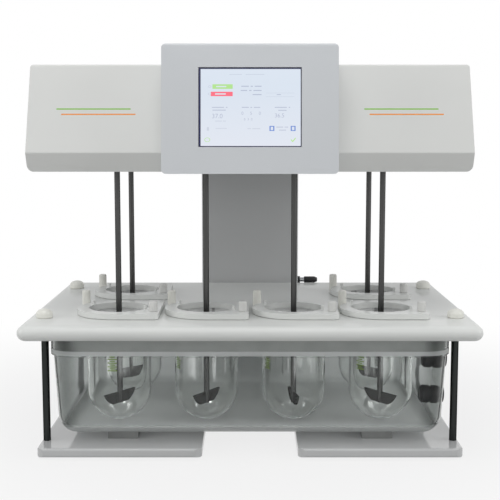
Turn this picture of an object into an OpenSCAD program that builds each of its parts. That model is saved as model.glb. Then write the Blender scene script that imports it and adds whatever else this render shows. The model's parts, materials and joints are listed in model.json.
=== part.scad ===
// Tablet dissolution tester: six glass vessels hang in a plate over a water bath,
// and a lifting head on a rear column turns six paddle stirrers with one belt.
// Sizes are millimetres, +Z is up and the operator stands on the -Y side.
// The origin lies on the bench under the middle of the footprint.

/* [Stations] */
// Distance between neighbouring stirrers in the front row
station_pitch = 146; // [144:1:154]
// Distance from the front row of vessels to the back row
row_gap = 199; // [180:1:215]
// Distance from the plate's front edge to the front row
front_row_inset = 130; // [122:1:145]

/* [Base and posts] */
// Height of the rubber feet
foot_h = 3; // [2:0.5:8]
// Diameter of the rubber feet
foot_d = 32; // [20:1:45]
// Thickness of the base
base_t = 15; // [12:1:22]
// Rounding of the base's upper and lower edges
base_edge_r = 4; // [2:0.5:6]
// Open width between the two front legs
leg_gap = 155; // [120:1:180]
// Depth of the bar that joins the legs at the back
base_bar_d = 150; // [135:1:180]
// Distance from the plate's front edge back to the legs' front ends
base_front_inset = 36; // [20:1:50]
// Base beyond the post axes on each side
base_post_margin = 9; // [8:1:25]
// Base behind the column
base_tail = 25; // [10:1:40]
// Diameter of the support posts
post_d = 12; // [10:0.5:16]
// Distance from the plate's side edges in to the post axes
post_side_inset = 30; // [25:1:36]
// Distance from the plate's front and back edges in to the post axes
post_end_inset = 85; // [70:1:100]
// Diameter of the domed knobs on the posts
post_knob_d = 27; // [22:1:34]
// Height of the domed knobs on the posts
post_knob_h = 15; // [14:1:26]

/* [Vessel plate] */
// Plate beyond the outer stirrers on each side
plate_side = 146; // [138:1:155]
// Plate behind the back row
plate_back = 161; // [150:1:180]
// Plate thickness, with a fully rounded edge
plate_t = 24; // [20:1:28]
// Plan radius of the plate's corners
plate_corner_r = 16; // [15:1:30]
// Height of the plate's top above the base's top
plate_rise = 205; // [195:1:225]

/* [Bath] */
// Wall of the tub
bath_wall = 4; // [3:0.5:6]
// Draft of the tub's walls in degrees
bath_draft = 3.4; // [1:0.1:5]
// Distance from the plate's front and back edges in to the tub's rim
bath_end_inset = 40; // [36:1:48]
// Gap between the tub's rim and the posts
bath_post_gap = 5; // [4:1:14]
// Set-out of the tub's rim over its stacking ledge
bath_step = 4; // [2:0.5:6]
// Thickness of the stacking ledge
bath_ledge_t = 8; // [4:0.5:12]
// Plan radius of the tub's upright corners
bath_corner_r = 42; // [30:1:60]
// Radius between the tub's walls and floor
bath_floor_r = 32; // [15:1:36]
// Height of the pads under the tub
bath_pad_h = 16; // [10:1:22]
// Height of the locating frame inside the tub's rim
bath_frame_h = 24; // [15:1:34]
// Thickness of the locating frame
bath_frame_t = 6; // [4:0.5:7]
// Diameter of the nozzles inside the tub's right wall
nozzle_d = 30; // [20:1:32]

/* [Vessels and collars] */
// Inside diameter of a vessel
vessel_bore_d = 100; // [96:1:104]
// Glass thickness of a vessel
vessel_wall = 3; // [2:0.25:4]
// Gap between a vessel's bottom and the tub's floor
vessel_floor_gap = 5; // [3:0.5:12]
// Overhang of a vessel's flange beyond its wall
flange_over = 8; // [5:0.5:9]
// Thickness of a vessel's flange
flange_t = 4; // [3:0.5:6]
// Radius of a collar's round end
collar_r = 69; // [67:0.5:70]
// Distance from a vessel's axis to its collar's square end
collar_end = 71; // [70:0.5:72]
// Thickness of a collar
collar_t = 10; // [6:0.5:12]
// Height of the shadow gap under a collar's edge
collar_relief = 1; // [0.5:0.1:2]
// Opening of a collar
collar_hole_d = 98; // [92:1:99]
// Sideways distance from a vessel's axis to its clamp knob
knob_x = 61; // [60:0.5:62]
// Forward distance from a vessel's axis to its clamp knob
knob_y = 42; // [41:0.5:48]
// Diameter of the clamp knobs and the locating pegs
knob_d = 14; // [11:0.5:16]
// Height of the clamp knobs above the collars
knob_h = 17; // [14:1:26]
// Height of the locating pegs above the collars
peg_h = 22; // [14:1:26]

/* [Stirrers] */
// Diameter of a stirrer's shaft
shaft_d = 9.4; // [9:0.1:10.2]
// Width of a paddle blade at its upper edge
blade_w = 75; // [70:0.5:76]
// Radius of a paddle blade's curved ends
blade_r = 41.5; // [40.5:0.5:42.5]
// Height of a paddle blade
blade_h = 19; // [18:0.5:20]
// Thickness of a paddle blade
blade_t = 4; // [3:0.5:5]
// Gap between a paddle blade and the vessel's inner bottom
blade_gap = 25; // [23:0.5:28]

/* [Column and lift] */
// Width of the column
column_w = 194; // [180:1:210]
// Depth of the column
column_d = 100; // [94:1:115]
// Sheet thickness of the column
column_wall = 3; // [2:0.5:4]
// Gap between the plate's back edge and the column
column_gap = 10; // [6:1:25]
// Thickness of the slide pads in the column
pad_t = 12; // [9:0.5:14]
// Travel of the head
lift_travel = 190; // [150:5:200]

/* [Head] */
// Height of the head's underside above the plate
head_rise = 238; // [225:1:260]
// Width of the head
head_w = 704; // [690:1:730]
// Sheet thickness of the head's cover
shell_t = 3; // [2:0.5:4]
// Distance from the plate's front edge back to the head's front crease
fascia_inset = 48; // [35:1:55]
// Height of the inclined band under the front crease
bevel_h = 30; // [20:1:36]
// Set-back of the head's lower front edge under the crease
bevel_run = 14; // [8:1:18]
// Height of the sloped front above the crease
fascia_h = 140; // [125:1:150]
// Set-back of the sloped front at its top
fascia_lean = 55; // [40:1:60]
// Head behind the back row
head_back = 101; // [92:1:115]
// Width of the neck over the column
neck_w = 230; // [216:1:260]
// Height of the neck
neck_h = 138; // [115:1:150]

/* [Display box] */
// Width of the display box
display_w = 271; // [240:1:300]
// Height of the display box
display_h = 198; // [188:1:212]
// Backward tilt of the display box's front in degrees
display_tilt = 6.7; // [2:0.1:9]
// Distance from the plate's front edge back to the display box
display_inset = 2; // [0:1:10]
// Depth of the display box at its foot on the head's top
display_d = 195; // [170:1:230]
// Width of the screen
screen_w = 157; // [140:1:170]
// Height of the screen
screen_h = 121; // [105:1:130]
// Height of the screen's middle above the box's lower edge
screen_mid = 102; // [96:1:108]

/* [Drive] */
// Pitch radius of the spindle pulleys
pulley_r = 30; // [24:1:32]
// Pitch radius of the motor's pulley
drive_r = 20; // [16:1:24]
// Radius of the tension idler
idler_r = 15; // [12:1:18]
// Depth to which the idler presses the belt in
idler_press = 18; // [10:1:20]
// Thickness of the belt
belt_t = 2.4; // [1.6:0.1:3]
// Width of the belt
belt_w = 15; // [10:1:16]
// Distance from the back row to the motor's axis
motor_offset = 58; // [50:1:64]

/* [Hidden] */
$fn = 64;
// Radial clearance of turning fits
run_gap = 0.05;
// Clearance of loose fits between rigid pieces
loose_gap = 0.4;
// Clearance between the belt and the pulleys
belt_gap = 0.3;
// Overrun of cutting bodies
over = 1;

white = [0.93, 0.94, 0.94];
pale_grey = [0.80, 0.83, 0.85];
dark_steel = [0.24, 0.25, 0.27];
bright_steel = [0.70, 0.71, 0.73];
black = [0.06, 0.06, 0.07];

plate_w = 3 * station_pitch + 2 * plate_side;
plate_d = front_row_inset + row_gap + plate_back;
machine_d = plate_d + column_gap + column_d + base_tail;
// Y of a point a given distance behind the plate's front edge
function back(t) = t - machine_d / 2;

base_top = foot_h + base_t;
plate_top = base_top + plate_rise;
plate_low = plate_top - plate_t;
head_low = plate_top + head_rise;
head_top = head_low + bevel_h + fascia_h;

front_y = back(front_row_inset);
rear_y = back(front_row_inset + row_gap);
stations = concat(
    [for (k = [-1.5 : 1.5]) [k * station_pitch, front_y]],
    [for (k = [-1.5, 1.5]) [k * station_pitch, rear_y]]);
// Directions in which the paddle blades have stopped
blade_turns = [55, 58, -80, -53, 35, -40];

post_x = plate_w / 2 - post_side_inset;
post_points = [for (x = [-post_x, post_x], t = [post_end_inset, plate_d - post_end_inset]) [x, back(t)]];
post_tip_d = post_d - 4;
post_tip_h = 10;
leg_corner_r = 14;
notch_corner_r = 25;
tail_corner_r = 20;
foot_margin = 4;
foot_chamfer = 1;
post_knob_chamfer = 1.5;
// Share of a post knob's height that its dome takes
dome_share = 0.55;
base_w = 2 * (post_x + base_post_margin);

bath_top_x = post_x - post_d / 2 - bath_post_gap;
bath_low = base_top + bath_pad_h;
// Gap between the locating frame's foot and the tub's ledge
frame_seat_gap = 0.3;
bath_rim_h = bath_frame_h + frame_seat_gap + bath_ledge_t;
bath_rim_low = plate_low - bath_rim_h;
// Distance from the rim's outside in to the centres of the floor's rounded corners
bath_floor_in = bath_step
    + (bath_rim_low - bath_low - bath_floor_r) * tan(bath_draft)
    + bath_floor_r / cos(bath_draft);
bath_pad = [50, 30];
// Places of the pads, as shares of the plate's depth
bath_pad_shares = [0.22, 0.78];
// Gap between the tub's rim and the locating frame
bath_frame_gap = 2;
// Distance of the nozzles behind the plate's front edge
nozzle_t = 100;
nozzle_spacing = 60;
// Depths of the nozzles below the plate's underside, the upper one close under the tub's ledge
nozzle_drops = [for (k = [0, 1]) bath_rim_h + nozzle_d / 2 + k * nozzle_spacing];
nozzle_stem_d = 16;
// Gap between the lower nozzle's inner end and the nearest vessel
nozzle_end_gap = 8;
nozzle_chamfer = 4;
// Cap at the inner end of a nozzle, and the groove behind it
nozzle_cap = 15;
nozzle_groove = 5;
nozzle_groove_in = 2;
nozzle_nut_d = nozzle_d - 4;
nozzle_nut_h = 4;
// Thickness of the seal on each side of the tub's wall
seal_t = 0.2;

vessel_r = vessel_bore_d / 2 + vessel_wall;
flange_r = vessel_r + flange_over;
vessel_low = bath_low + bath_wall + vessel_floor_gap;
vessel_floor = vessel_low + vessel_wall;
// Gap round a vessel in the plate's hole
mouth_gap = 1;
// Steps of a quarter turn on a vessel's round bottom
bottom_steps = 18;
stud_d = 5;
stud_h = 14;
pin_d = 5;
pin_h = 7;
pin_turn = -30;
pin_margin = 1.5;
collar_corner_r = 7;
collar_relief_in = 3;
knob_chamfer = 0.8;
knob_edge_r = 3;

blade_low = vessel_floor + blade_gap;
blade_chord = sqrt(pow(blade_r, 2) - pow(blade_w / 2, 2));

bearing_d = 35;
bearing_h = 10;
bearing_rise = 0.5;
bearing_step = 3;
sleeve_d = 17;
hub_over = 3;
stop_over = 2.5;
boss_d = 46;
boss_h = 50;
tray_t = 6;
tray_top = head_low + tray_t;
boss_top = tray_top + boss_h;
pulley_flange = 4;
pulley_rim = 3;
hub_h = 2;
belt_side_gap = 0.5;
pulley_low = boss_top + hub_h;
belt_low = pulley_low + pulley_rim + belt_side_gap;
pulley_top = belt_low + belt_w + belt_side_gap + pulley_rim;
stop_h = 10;
idler = [0, front_y - pulley_r + idler_press - idler_r];
idler_pin_d = 8;
idler_pin_rise = 4;
idler_boss_over = 4;
motor = [0, rear_y + motor_offset];
motor_w = 57;
motor_h = 42;
motor_corner_r = 6;
motor_pilot = [38, 2];
motor_shaft_d = 8;
motor_shaft_depth = 22;
board = [150, 90, 1.6];
// Blocks on the control board: [x, y, width, depth, height]
board_parts = [[-45, 20, 30, 26, 14], [10, 18, 24, 24, 6], [48, -18, 34, 30, 20], [-30, -22, 40, 18, 10]];
board_y = (front_y + rear_y) / 2;
standoff_h = 12;
standoff_d = 8;
standoff_inset = 6;

column_front = plate_d + column_gap;
column_back = column_front + column_d;
column_mid = column_front + column_d / 2;
column_top_gap = 3;
column_top = head_low - column_top_gap;
column_corner_r = 6;
column_foot = 14;
column_toe = 6;
mast_w = column_w - 2 * column_wall - 2 * pad_t;
mast_d = column_d - 2 * column_wall - 2 * pad_t;
mast_wall = 4;
mast_corner_r = 5;
// Length of the mast that stays in the column with the head up
mast_overlap = 190;
mast_h = lift_travel + mast_overlap;
pad_h = 40;
side_pad_w = 40;
front_pad_w = 60;
pad_gap = 0.1;
pad_top_margin = 8;
pad_low_margin = 12;
pad_levels = [column_top - pad_top_margin - pad_h, head_low - mast_h + lift_travel + pad_low_margin];
rod_d = 24;
rod_below_mast = 10;
rod_h = mast_h + rod_below_mast;
rod_floor_gap = 12;
actuator_d = 44;
actuator_drop = 28;
actuator_top = column_top - actuator_drop;
actuator_foot = [60, 6];
socket_rise = 22;
socket_z = base_top + socket_rise;
socket_size = [90, 34];
socket_rim = [3, 2.5];
socket_depth = 22;
socket_floor = 5;
// Middle, width and height of the inlet's recess
recess_x = -23;
recess = [30, 18];
recess_corner = 5;
recess_r = 2;
// Flat contacts in the recess, from its middle
contacts = [[0, 3], [-7, -2], [7, -2]];
contact = [2, 14, 4];
contact_root = 4;
rocker = [19, 24];
rocker_pin_d = 3;
rocker_x = 24;
rocker_turn = 8;
rocker_axis_in = 5;
rocker_pin_over = 3;
rocker_slot_over = 1.5;
// Reach of the rocker's root, shoulders, tips and waist from its axis
rocker_root = 7;
rocker_shoulder = 7;
rocker_tip = 10;
rocker_waist = 8;
rocker_root_h = 4;
plug_rise = 1;
plug_z = plate_top + plug_rise;
plug_t = 16;
plug_stem_d = 8;
plug_stem_over = 3;
// Side outline of the plug outside the column: [radius, distance from the wall]
plug_outline = [[7, 0], [7, 5], [4.5, 5], [4.5, 13], [6.5, 14], [6.5, 34], [4, 40], [0, 40]];

wide_back = front_row_inset + row_gap + head_back;
neck_over = 5;
neck_back = column_back + neck_over;
neck_overlap = 30;
neck_corner_r = 25;
head_back_r = 12;
head_top_r = 5;
head_low_r = 10;
crease_r = 4;
vent = [5, 46];
vent_count = 9;
vent_pitch = 16;
vent_first = 50;
vent_rise = 80;
cable_hole = [60, 40, 30];
tray_gap = 1;
tray_lap = 20;
display_drop = 1;
display_low = head_low - display_drop;
display_wall = 4;
display_floor = 14;
display_corner_r = 7;
display_top_r = 8;
display_lip_r = 4;
display_back_lean = 20;
screen_wall = 6;
screen_ledge = 5;
screen_sink = 1;
screen_back_gap = 3;
module_t = 12;
glass_t = 2.5;

// Unit vector along v
function unit(v) = v / norm(v);
// Signed turn from angle a to angle b, at most half a turn
function short_turn(a, b) = b - a > 180 ? b - a - 360 : b - a < -180 ? b - a + 360 : b - a;
// Steps of a rounded corner of radius r
function arc_steps(r) = ceil(3 + 1.7 * sqrt(r));
// Round corner at p between its neighbours a and b
function corner_arc(a, p, b, r) =
    let (
        u = unit(a - p),
        v = unit(b - p),
        half = acos(u * v) / 2,
        centre = p + unit(u + v) * r / sin(half),
        first = p + u * r / tan(half) - centre,
        last = p + v * r / tan(half) - centre,
        start = atan2(first[1], first[0]),
        sweep = short_turn(start, atan2(last[1], last[0])),
        steps = arc_steps(r)
    )
    [for (i = [0 : steps]) centre + r * [cos(start + sweep * i / steps), sin(start + sweep * i / steps)]];
function flat(c) = [c[0], c[1]];
function around(list, i) = list[(i + len(list)) % len(list)];
// Outline through corners [x, y, radius], with each corner rounded
function rounded(corners) =
    [for (i = [0 : len(corners) - 1])
        each corners[i][2] > 0
            ? corner_arc(
                flat(around(corners, i - 1)),
                flat(corners[i]),
                flat(around(corners, i + 1)),
                corners[i][2])
            : [flat(corners[i])]];
// Corners of an upright rectangle, anticlockwise
function box_corners(x0, y0, x1, y1, r) = [[x0, y0, r], [x1, y0, r], [x1, y1, r], [x0, y1, r]];
// Left-hand normal of the edge from a to b
function left_normal(a, b) = let (e = unit(flat(b) - flat(a))) [-e[1], e[0]];
// Anticlockwise corners moved inwards by d
function inset(corners, d) =
    [for (i = [0 : len(corners) - 1])
        let (
            n0 = left_normal(around(corners, i - 1), corners[i]),
            n1 = left_normal(corners[i], around(corners, i + 1)),
            q = flat(corners[i]) + (n0 + n1) * d / (1 + n0 * n1)
        )
        [q[0], q[1], max(corners[i][2] - d, 0)]];
// Points of an arc about a centre
function arc(centre, r, from, to, steps) =
    [for (i = [0 : steps])
        let (a = from + (to - from) * i / steps)
        centre + r * [cos(a), sin(a)]];

// Extrudes a side view, drawn in Y and Z, along X
module along_x(w) {
    rotate([90, 0, 90]) linear_extrude(w, center = true) children();
}

// Extrudes a front view, drawn in X and Z, along Y from y0 to y1
module along_y(y0, y1) {
    translate([0, y1, 0]) rotate([90, 0, 0]) linear_extrude(y1 - y0) children();
}

// Flat slab from a plan outline, with its upper and lower edges rounded on all four sides
module slab(w, y0, y1, z0, z1, edge_r, plan) {
    intersection() {
        translate([0, 0, z0 - over]) linear_extrude(z1 - z0 + 2 * over) polygon(plan);
        along_x(w + 2 * over) polygon(rounded(box_corners(y0, z0, y1, z1, edge_r)));
        along_y(y0 - over, y1 + over) polygon(rounded(box_corners(-w / 2, z0, w / 2, z1, edge_r)));
    }
}

// Flat plate with a fully rounded edge that rolls round its plan corners of radius r
module bullnose_plate(w, y0, y1, z0, t, r) {
    x = w / 2 - r;
    edge = t / 2;
    along_x(2 * x) polygon(rounded(box_corners(y0, z0, y1, z0 + t, edge)));
    along_y(y0 + r, y1 - r) polygon(rounded(box_corners(-w / 2, z0, w / 2, z0 + t, edge)));
    for (side = [-1, 1], y = [y0 + r, y1 - r])
        translate([side * x, y, z0 + edge]) rotate_extrude()
            polygon(concat(
                [[0, -edge]],
                arc([r - edge, 0], edge, -90, 90, 2 * arc_steps(edge)),
                [[0, edge]]));
}

// Places children at station i
module at_station(i) {
    translate([stations[i][0], stations[i][1], 0]) children();
}

module base_frame() {
    y0 = back(base_front_inset);
    y1 = back(machine_d);
    notch_y = y1 - base_bar_d;
    outline = rounded([
        [-base_w / 2, y0, leg_corner_r],
        [-leg_gap / 2, y0, leg_corner_r],
        [-leg_gap / 2, notch_y, notch_corner_r],
        [leg_gap / 2, notch_y, notch_corner_r],
        [leg_gap / 2, y0, leg_corner_r],
        [base_w / 2, y0, leg_corner_r],
        [base_w / 2, y1, tail_corner_r],
        [-base_w / 2, y1, tail_corner_r]]);
    color(pale_grey) difference() {
        slab(base_w, y0, y1, foot_h, base_top, base_edge_r, outline);
        for (p = post_points)
            translate([p[0], p[1], base_top - post_tip_h])
                cylinder(d = post_tip_d + 2 * run_gap, h = post_tip_h + over);
    }
}

module rubber_feet() {
    x = base_w / 2 - foot_d - foot_margin;
    r = foot_d / 2;
    for (s = [-1, 1], y = [back(base_front_inset + foot_d), back(machine_d - foot_d)])
        color(black) translate([s * x, y, 0]) rotate_extrude()
            polygon([[0, 0], [r - foot_chamfer, 0], [r, foot_chamfer], [r, foot_h], [0, foot_h]]);
}

module support_posts() {
    color(dark_steel) for (p = post_points)
        translate([p[0], p[1], 0]) rotate_extrude() polygon([
            [0, base_top - post_tip_h],
            [post_tip_d / 2, base_top - post_tip_h],
            [post_tip_d / 2, base_top],
            [post_d / 2, base_top],
            [post_d / 2, plate_low],
            [post_tip_d / 2, plate_low],
            [post_tip_d / 2, plate_top + post_tip_h],
            [0, plate_top + post_tip_h]]);
}

module post_knobs() {
    r = post_knob_d / 2;
    bore = post_tip_d / 2 + run_gap;
    dome = dome_share * post_knob_h;
    profile = concat(
        [[bore, 0], [r - post_knob_chamfer, 0], [r, post_knob_chamfer]],
        [for (a = [0 : 10 : 90]) [r * cos(a), post_knob_h - dome + dome * sin(a)]],
        [[0, post_tip_h], [bore, post_tip_h]]);
    color(white) for (p = post_points)
        translate([p[0], p[1], plate_top]) rotate_extrude() polygon(profile);
}

// Plan of the tub's rim, drawn in by d
function rim_plan(d) =
    rounded(inset(box_corners(
        -bath_top_x, back(bath_end_inset), bath_top_x, back(plate_d - bath_end_inset), bath_corner_r), d));

// Tub's body and rim drawn in from their outside by a wall, from the rim's foot up to a given height
module tub_form(wall, foot, top) {
    corner = bath_corner_r - bath_step - wall / cos(bath_draft);
    floor_r = bath_floor_r - wall;
    y0 = back(bath_end_inset);
    y1 = back(plate_d - bath_end_inset);
    mid = (y0 + y1) / 2;
    top_y = (y1 - y0) / 2;
    hull() for (sx = [-1, 1], sy = [-1, 1]) {
        translate([sx * (bath_top_x - bath_corner_r), mid + sy * (top_y - bath_corner_r), bath_rim_low])
            cylinder(r = corner, h = bath_ledge_t + over, $fn = 32);
        translate([
            sx * (bath_top_x - bath_floor_in),
            mid + sy * (top_y - bath_floor_in),
            bath_low + bath_floor_r]) sphere(r = floor_r, $fn = 32);
    }
    translate([0, 0, foot]) linear_extrude(top - foot) polygon(rim_plan(wall));
}

// Distance from the middle to the outside of the tub's side wall, at a depth below the plate
function tub_side(drop) = bath_top_x - bath_step - (drop - bath_rim_h) * tan(bath_draft);

// Places children on the tub's right wall, with their +Z pointing out of the tub
module at_nozzle(drop) {
    translate([tub_side(drop), back(nozzle_t), plate_low - drop]) rotate([0, 90 + bath_draft, 0]) children();
}

module bath_tub() {
    color([0.75, 0.80, 0.82, 0.35]) difference() {
        tub_form(0, bath_rim_low, plate_low);
        tub_form(bath_wall, bath_rim_low + bath_ledge_t, plate_low + over);
        for (drop = nozzle_drops)
            at_nozzle(drop) cylinder(d = nozzle_stem_d + 2 * loose_gap, h = 8 * bath_wall, center = true);
    }
}

module bath_pads() {
    color(white) for (side = [-1, 1], share = bath_pad_shares)
        translate([side * (leg_gap / 2 + base_w / 2) / 2, back(plate_d * share), base_top + bath_pad_h / 2])
            cube([bath_pad[0], bath_pad[1], bath_pad_h], center = true);
}

// Nozzles through the tub's wall, each with its nut outside and a grooved cap inside
module bath_fittings() {
    vessel_side = stations[3][0] + vessel_r;
    root = vessel_side + nozzle_end_gap - tub_side(nozzle_drops[1]);
    groove = root + nozzle_cap;
    r = nozzle_d / 2;
    color(black) for (drop = nozzle_drops)
        at_nozzle(drop) rotate_extrude() polygon([
            [0, root],
            [r - nozzle_chamfer, root],
            [r, root + nozzle_chamfer],
            [r, groove],
            [r - nozzle_groove_in, groove],
            [r - nozzle_groove_in, groove + nozzle_groove],
            [r, groove + nozzle_groove],
            [r, -bath_wall - seal_t],
            [nozzle_stem_d / 2, -bath_wall - seal_t],
            [nozzle_stem_d / 2, seal_t],
            [nozzle_nut_d / 2, seal_t],
            [nozzle_nut_d / 2, nozzle_nut_h],
            [0, nozzle_nut_h]]);
}

// Frame under the plate that locates it in the tub's rim
module bath_frame() {
    drawn_in = bath_wall + bath_frame_gap;
    color(pale_grey) translate([0, 0, plate_low - bath_frame_h]) difference() {
        linear_extrude(bath_frame_h) polygon(rim_plan(drawn_in));
        translate([0, 0, -over]) linear_extrude(bath_frame_h + 2 * over)
            polygon(rim_plan(drawn_in + bath_frame_t));
    }
}

module vessel_plate() {
    color(white) difference() {
        bullnose_plate(plate_w, back(0), back(plate_d), plate_low, plate_t, plate_corner_r);
        for (i = [0 : 5]) at_station(i) {
            translate([0, 0, plate_low - over]) cylinder(r = vessel_r + mouth_gap, h = plate_t + 2 * over);
            translate([0, 0, plate_top - flange_t]) cylinder(r = flange_r + loose_gap, h = flange_t + over);
            translate([knob_x, -knob_y, plate_top - stud_h - over])
                cylinder(d = stud_d + 2 * loose_gap, h = stud_h + 2 * over);
            translate([-knob_x, knob_y, plate_top - stud_h])
                cylinder(d = stud_d + 2 * run_gap, h = stud_h + over);
        }
        for (p = post_points)
            translate([p[0], p[1], plate_low - over])
                cylinder(d = post_tip_d + 2 * run_gap, h = plate_t + 2 * over);
    }
}

// Side outline of a knob of radius r and height h from its foot at z0, above a stud to z1
function knob_profile(r, z0, h, z1) = concat(
    [[0, z1], [stud_d / 2, z1], [stud_d / 2, z0], [r - knob_chamfer, z0], [r, z0 + knob_chamfer]],
    arc([r - knob_edge_r, z0 + h - knob_edge_r], knob_edge_r, 0, 90, 5),
    [[0, z0 + h]]);

module locating_pegs() {
    color(white) for (i = [0 : 5])
        at_station(i) translate([-knob_x, knob_y, 0]) rotate_extrude()
            polygon(knob_profile(knob_d / 2, plate_top, collar_t + peg_h, plate_top - stud_h));
}

// Round-bottomed glass with a flat flange at its mouth
module vessel(i) {
    centre = [0, vessel_low + vessel_r];
    profile = concat(
        arc(centre, vessel_r, -90, 0, bottom_steps),
        [
            [vessel_r, plate_top - flange_t],
            [flange_r, plate_top - flange_t],
            [flange_r, plate_top],
            [vessel_bore_d / 2, plate_top]],
        arc(centre, vessel_bore_d / 2, 0, -90, bottom_steps));
    color([0.85, 0.92, 0.92, 0.35]) at_station(i) rotate_extrude() polygon(profile);
}

module collar(i) {
    pin_reach = collar_hole_d / 2 + pin_d / 2 + pin_margin;
    corners = [
        [-collar_r, -collar_r, collar_r],
        [collar_end, -collar_r, collar_corner_r],
        [collar_end, collar_r, collar_corner_r],
        [-collar_r, collar_r, collar_r]];
    color(white) at_station(i) translate([0, 0, plate_top]) difference() {
        union() {
            linear_extrude(collar_relief + over) polygon(rounded(inset(corners, collar_relief_in)));
            translate([0, 0, collar_relief])
                linear_extrude(collar_t - collar_relief) polygon(rounded(corners));
            for (side = [-1, 1])
                rotate(pin_turn) translate([side * pin_reach, 0, collar_t / 2])
                    cylinder(d = pin_d, h = collar_t / 2 + pin_h);
        }
        translate([0, 0, -over]) cylinder(d = collar_hole_d, h = collar_t + 2 * over);
        translate([knob_x, -knob_y, -over]) cylinder(d = stud_d + 2 * loose_gap, h = collar_t + 2 * over);
        translate([-knob_x, knob_y, -over]) cylinder(d = knob_d + 2 * loose_gap, h = collar_t + 2 * over);
    }
}

module collar_knob(i) {
    color(white) at_station(i) translate([knob_x, -knob_y, 0]) rotate_extrude()
        polygon(knob_profile(knob_d / 2, plate_top + collar_t, knob_h, plate_top - stud_h));
}

// Shaft and paddle blade in one piece, with a stop ring that hangs on the pulley
module stirrer(i) {
    top = pulley_top + stop_h;
    color(dark_steel) at_station(i) {
        translate([0, 0, blade_low]) cylinder(d = shaft_d, h = top - blade_low);
        translate([0, 0, pulley_top]) cylinder(r = sleeve_d / 2 + stop_over, h = stop_h);
        rotate(blade_turns[i]) intersection() {
            translate([0, 0, blade_low + blade_h + blade_chord]) rotate([90, 0, 0])
                cylinder(r = blade_r, h = blade_t, center = true);
            translate([-blade_w, -blade_w, blade_low]) cube([2 * blade_w, 2 * blade_w, blade_h]);
        }
    }
}

// Side outline of a flanged pulley of radius r with a bore of radius bore
function pulley_profile(r, bore) = [
    [bore, pulley_low],
    [r + pulley_flange, pulley_low],
    [r + pulley_flange, pulley_low + pulley_rim],
    [r, pulley_low + pulley_rim],
    [r, pulley_top - pulley_rim],
    [r + pulley_flange, pulley_top - pulley_rim],
    [r + pulley_flange, pulley_top],
    [bore, pulley_top]];

// Belt pulley on a hollow spindle that takes the stirrer's shaft
module pulley(i) {
    bore = shaft_d / 2 + run_gap;
    color(bright_steel) at_station(i) {
        rotate_extrude() polygon(pulley_profile(pulley_r, bore));
        rotate_extrude() polygon([
            [bore, head_low + bearing_rise],
            [sleeve_d / 2 - run_gap, head_low + bearing_rise],
            [sleeve_d / 2 - run_gap, boss_top],
            [sleeve_d / 2 + hub_over, boss_top],
            [sleeve_d / 2 + hub_over, pulley_low + over],
            [bore, pulley_low + over]]);
    }
}

module spindle_bearings() {
    color(bright_steel) for (i = [0 : 5], z = [head_low + bearing_rise, boss_top - bearing_h])
        at_station(i) translate([0, 0, z]) difference() {
            cylinder(d = bearing_d, h = bearing_h);
            translate([0, 0, -over]) cylinder(d = sleeve_d, h = bearing_h + 2 * over);
        }
}

module drive_motor() {
    c = motor_w / 2;
    color(black) translate([motor[0], motor[1], tray_top]) difference() {
        union() {
            linear_extrude(motor_h) polygon(rounded(box_corners(-c, -c, c, c, motor_corner_r)));
            cylinder(d = motor_pilot[0], h = motor_h + motor_pilot[1]);
        }
        translate([0, 0, motor_h - motor_shaft_depth])
            cylinder(d = motor_shaft_d + 2 * run_gap, h = motor_shaft_depth + motor_pilot[1] + over);
    }
}

module drive_pulley() {
    shaft_low = tray_top + motor_h - motor_shaft_depth;
    color(bright_steel) translate([motor[0], motor[1], 0]) {
        rotate_extrude() polygon(pulley_profile(drive_r, 0));
        translate([0, 0, shaft_low]) cylinder(d = motor_shaft_d, h = pulley_low - shaft_low + over);
    }
}

module idler_roller() {
    bore = idler_pin_d / 2 + run_gap;
    color(bright_steel) translate([idler[0], idler[1], 0]) rotate_extrude()
        polygon(pulley_profile(idler_r, bore));
}

// Belt path: [centre, radius, +1 for a pulley inside the loop or -1 for the idler], anticlockwise
belt_wheels = [
    [stations[0], pulley_r, 1],
    [stations[1], pulley_r, 1],
    [idler, idler_r + belt_t + 2 * belt_gap, -1],
    [stations[2], pulley_r, 1],
    [stations[3], pulley_r, 1],
    [stations[5], pulley_r, 1],
    [motor, drive_r, 1],
    [stations[4], pulley_r, 1]];
// Heading of the straight run from wheel a to wheel b, for radii grown by their sign times g
function run_heading(a, b, g) =
    let (d = b[0] - a[0], k = b[2] * b[1] + g - a[2] * a[1] - g)
    atan2(d[1], d[0]) - asin(k / norm(d));
// Outline of the loop at distance g outside the pulleys' rims
function belt_outline(g) =
    [for (i = [0 : len(belt_wheels) - 1])
        let (
            w = belt_wheels[i],
            arrive = run_heading(around(belt_wheels, i - 1), w, g),
            leave = run_heading(w, around(belt_wheels, i + 1), g),
            sweep = short_turn(arrive, leave),
            steps = ceil(abs(sweep) / 8) + 1,
            reach = w[2] * w[1] + g
        )
        for (s = [0 : steps])
            let (h = arrive + sweep * s / steps)
            w[0] + reach * [sin(h), -cos(h)]];

module drive_belt() {
    near = belt_gap;
    far = belt_gap + belt_t;
    color(black) translate([0, 0, belt_low]) linear_extrude(belt_w) difference() {
        polygon(belt_outline(far));
        polygon(belt_outline(near));
    }
}

module control_board() {
    color([0.10, 0.35, 0.20]) translate([0, board_y, tray_top + standoff_h]) {
        translate([0, 0, board[2] / 2]) cube(board, center = true);
        for (part = board_parts)
            translate([part[0] - part[2] / 2, part[1] - part[3] / 2, board[2] / 2])
                cube([part[2], part[3], part[4]]);
    }
}

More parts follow.
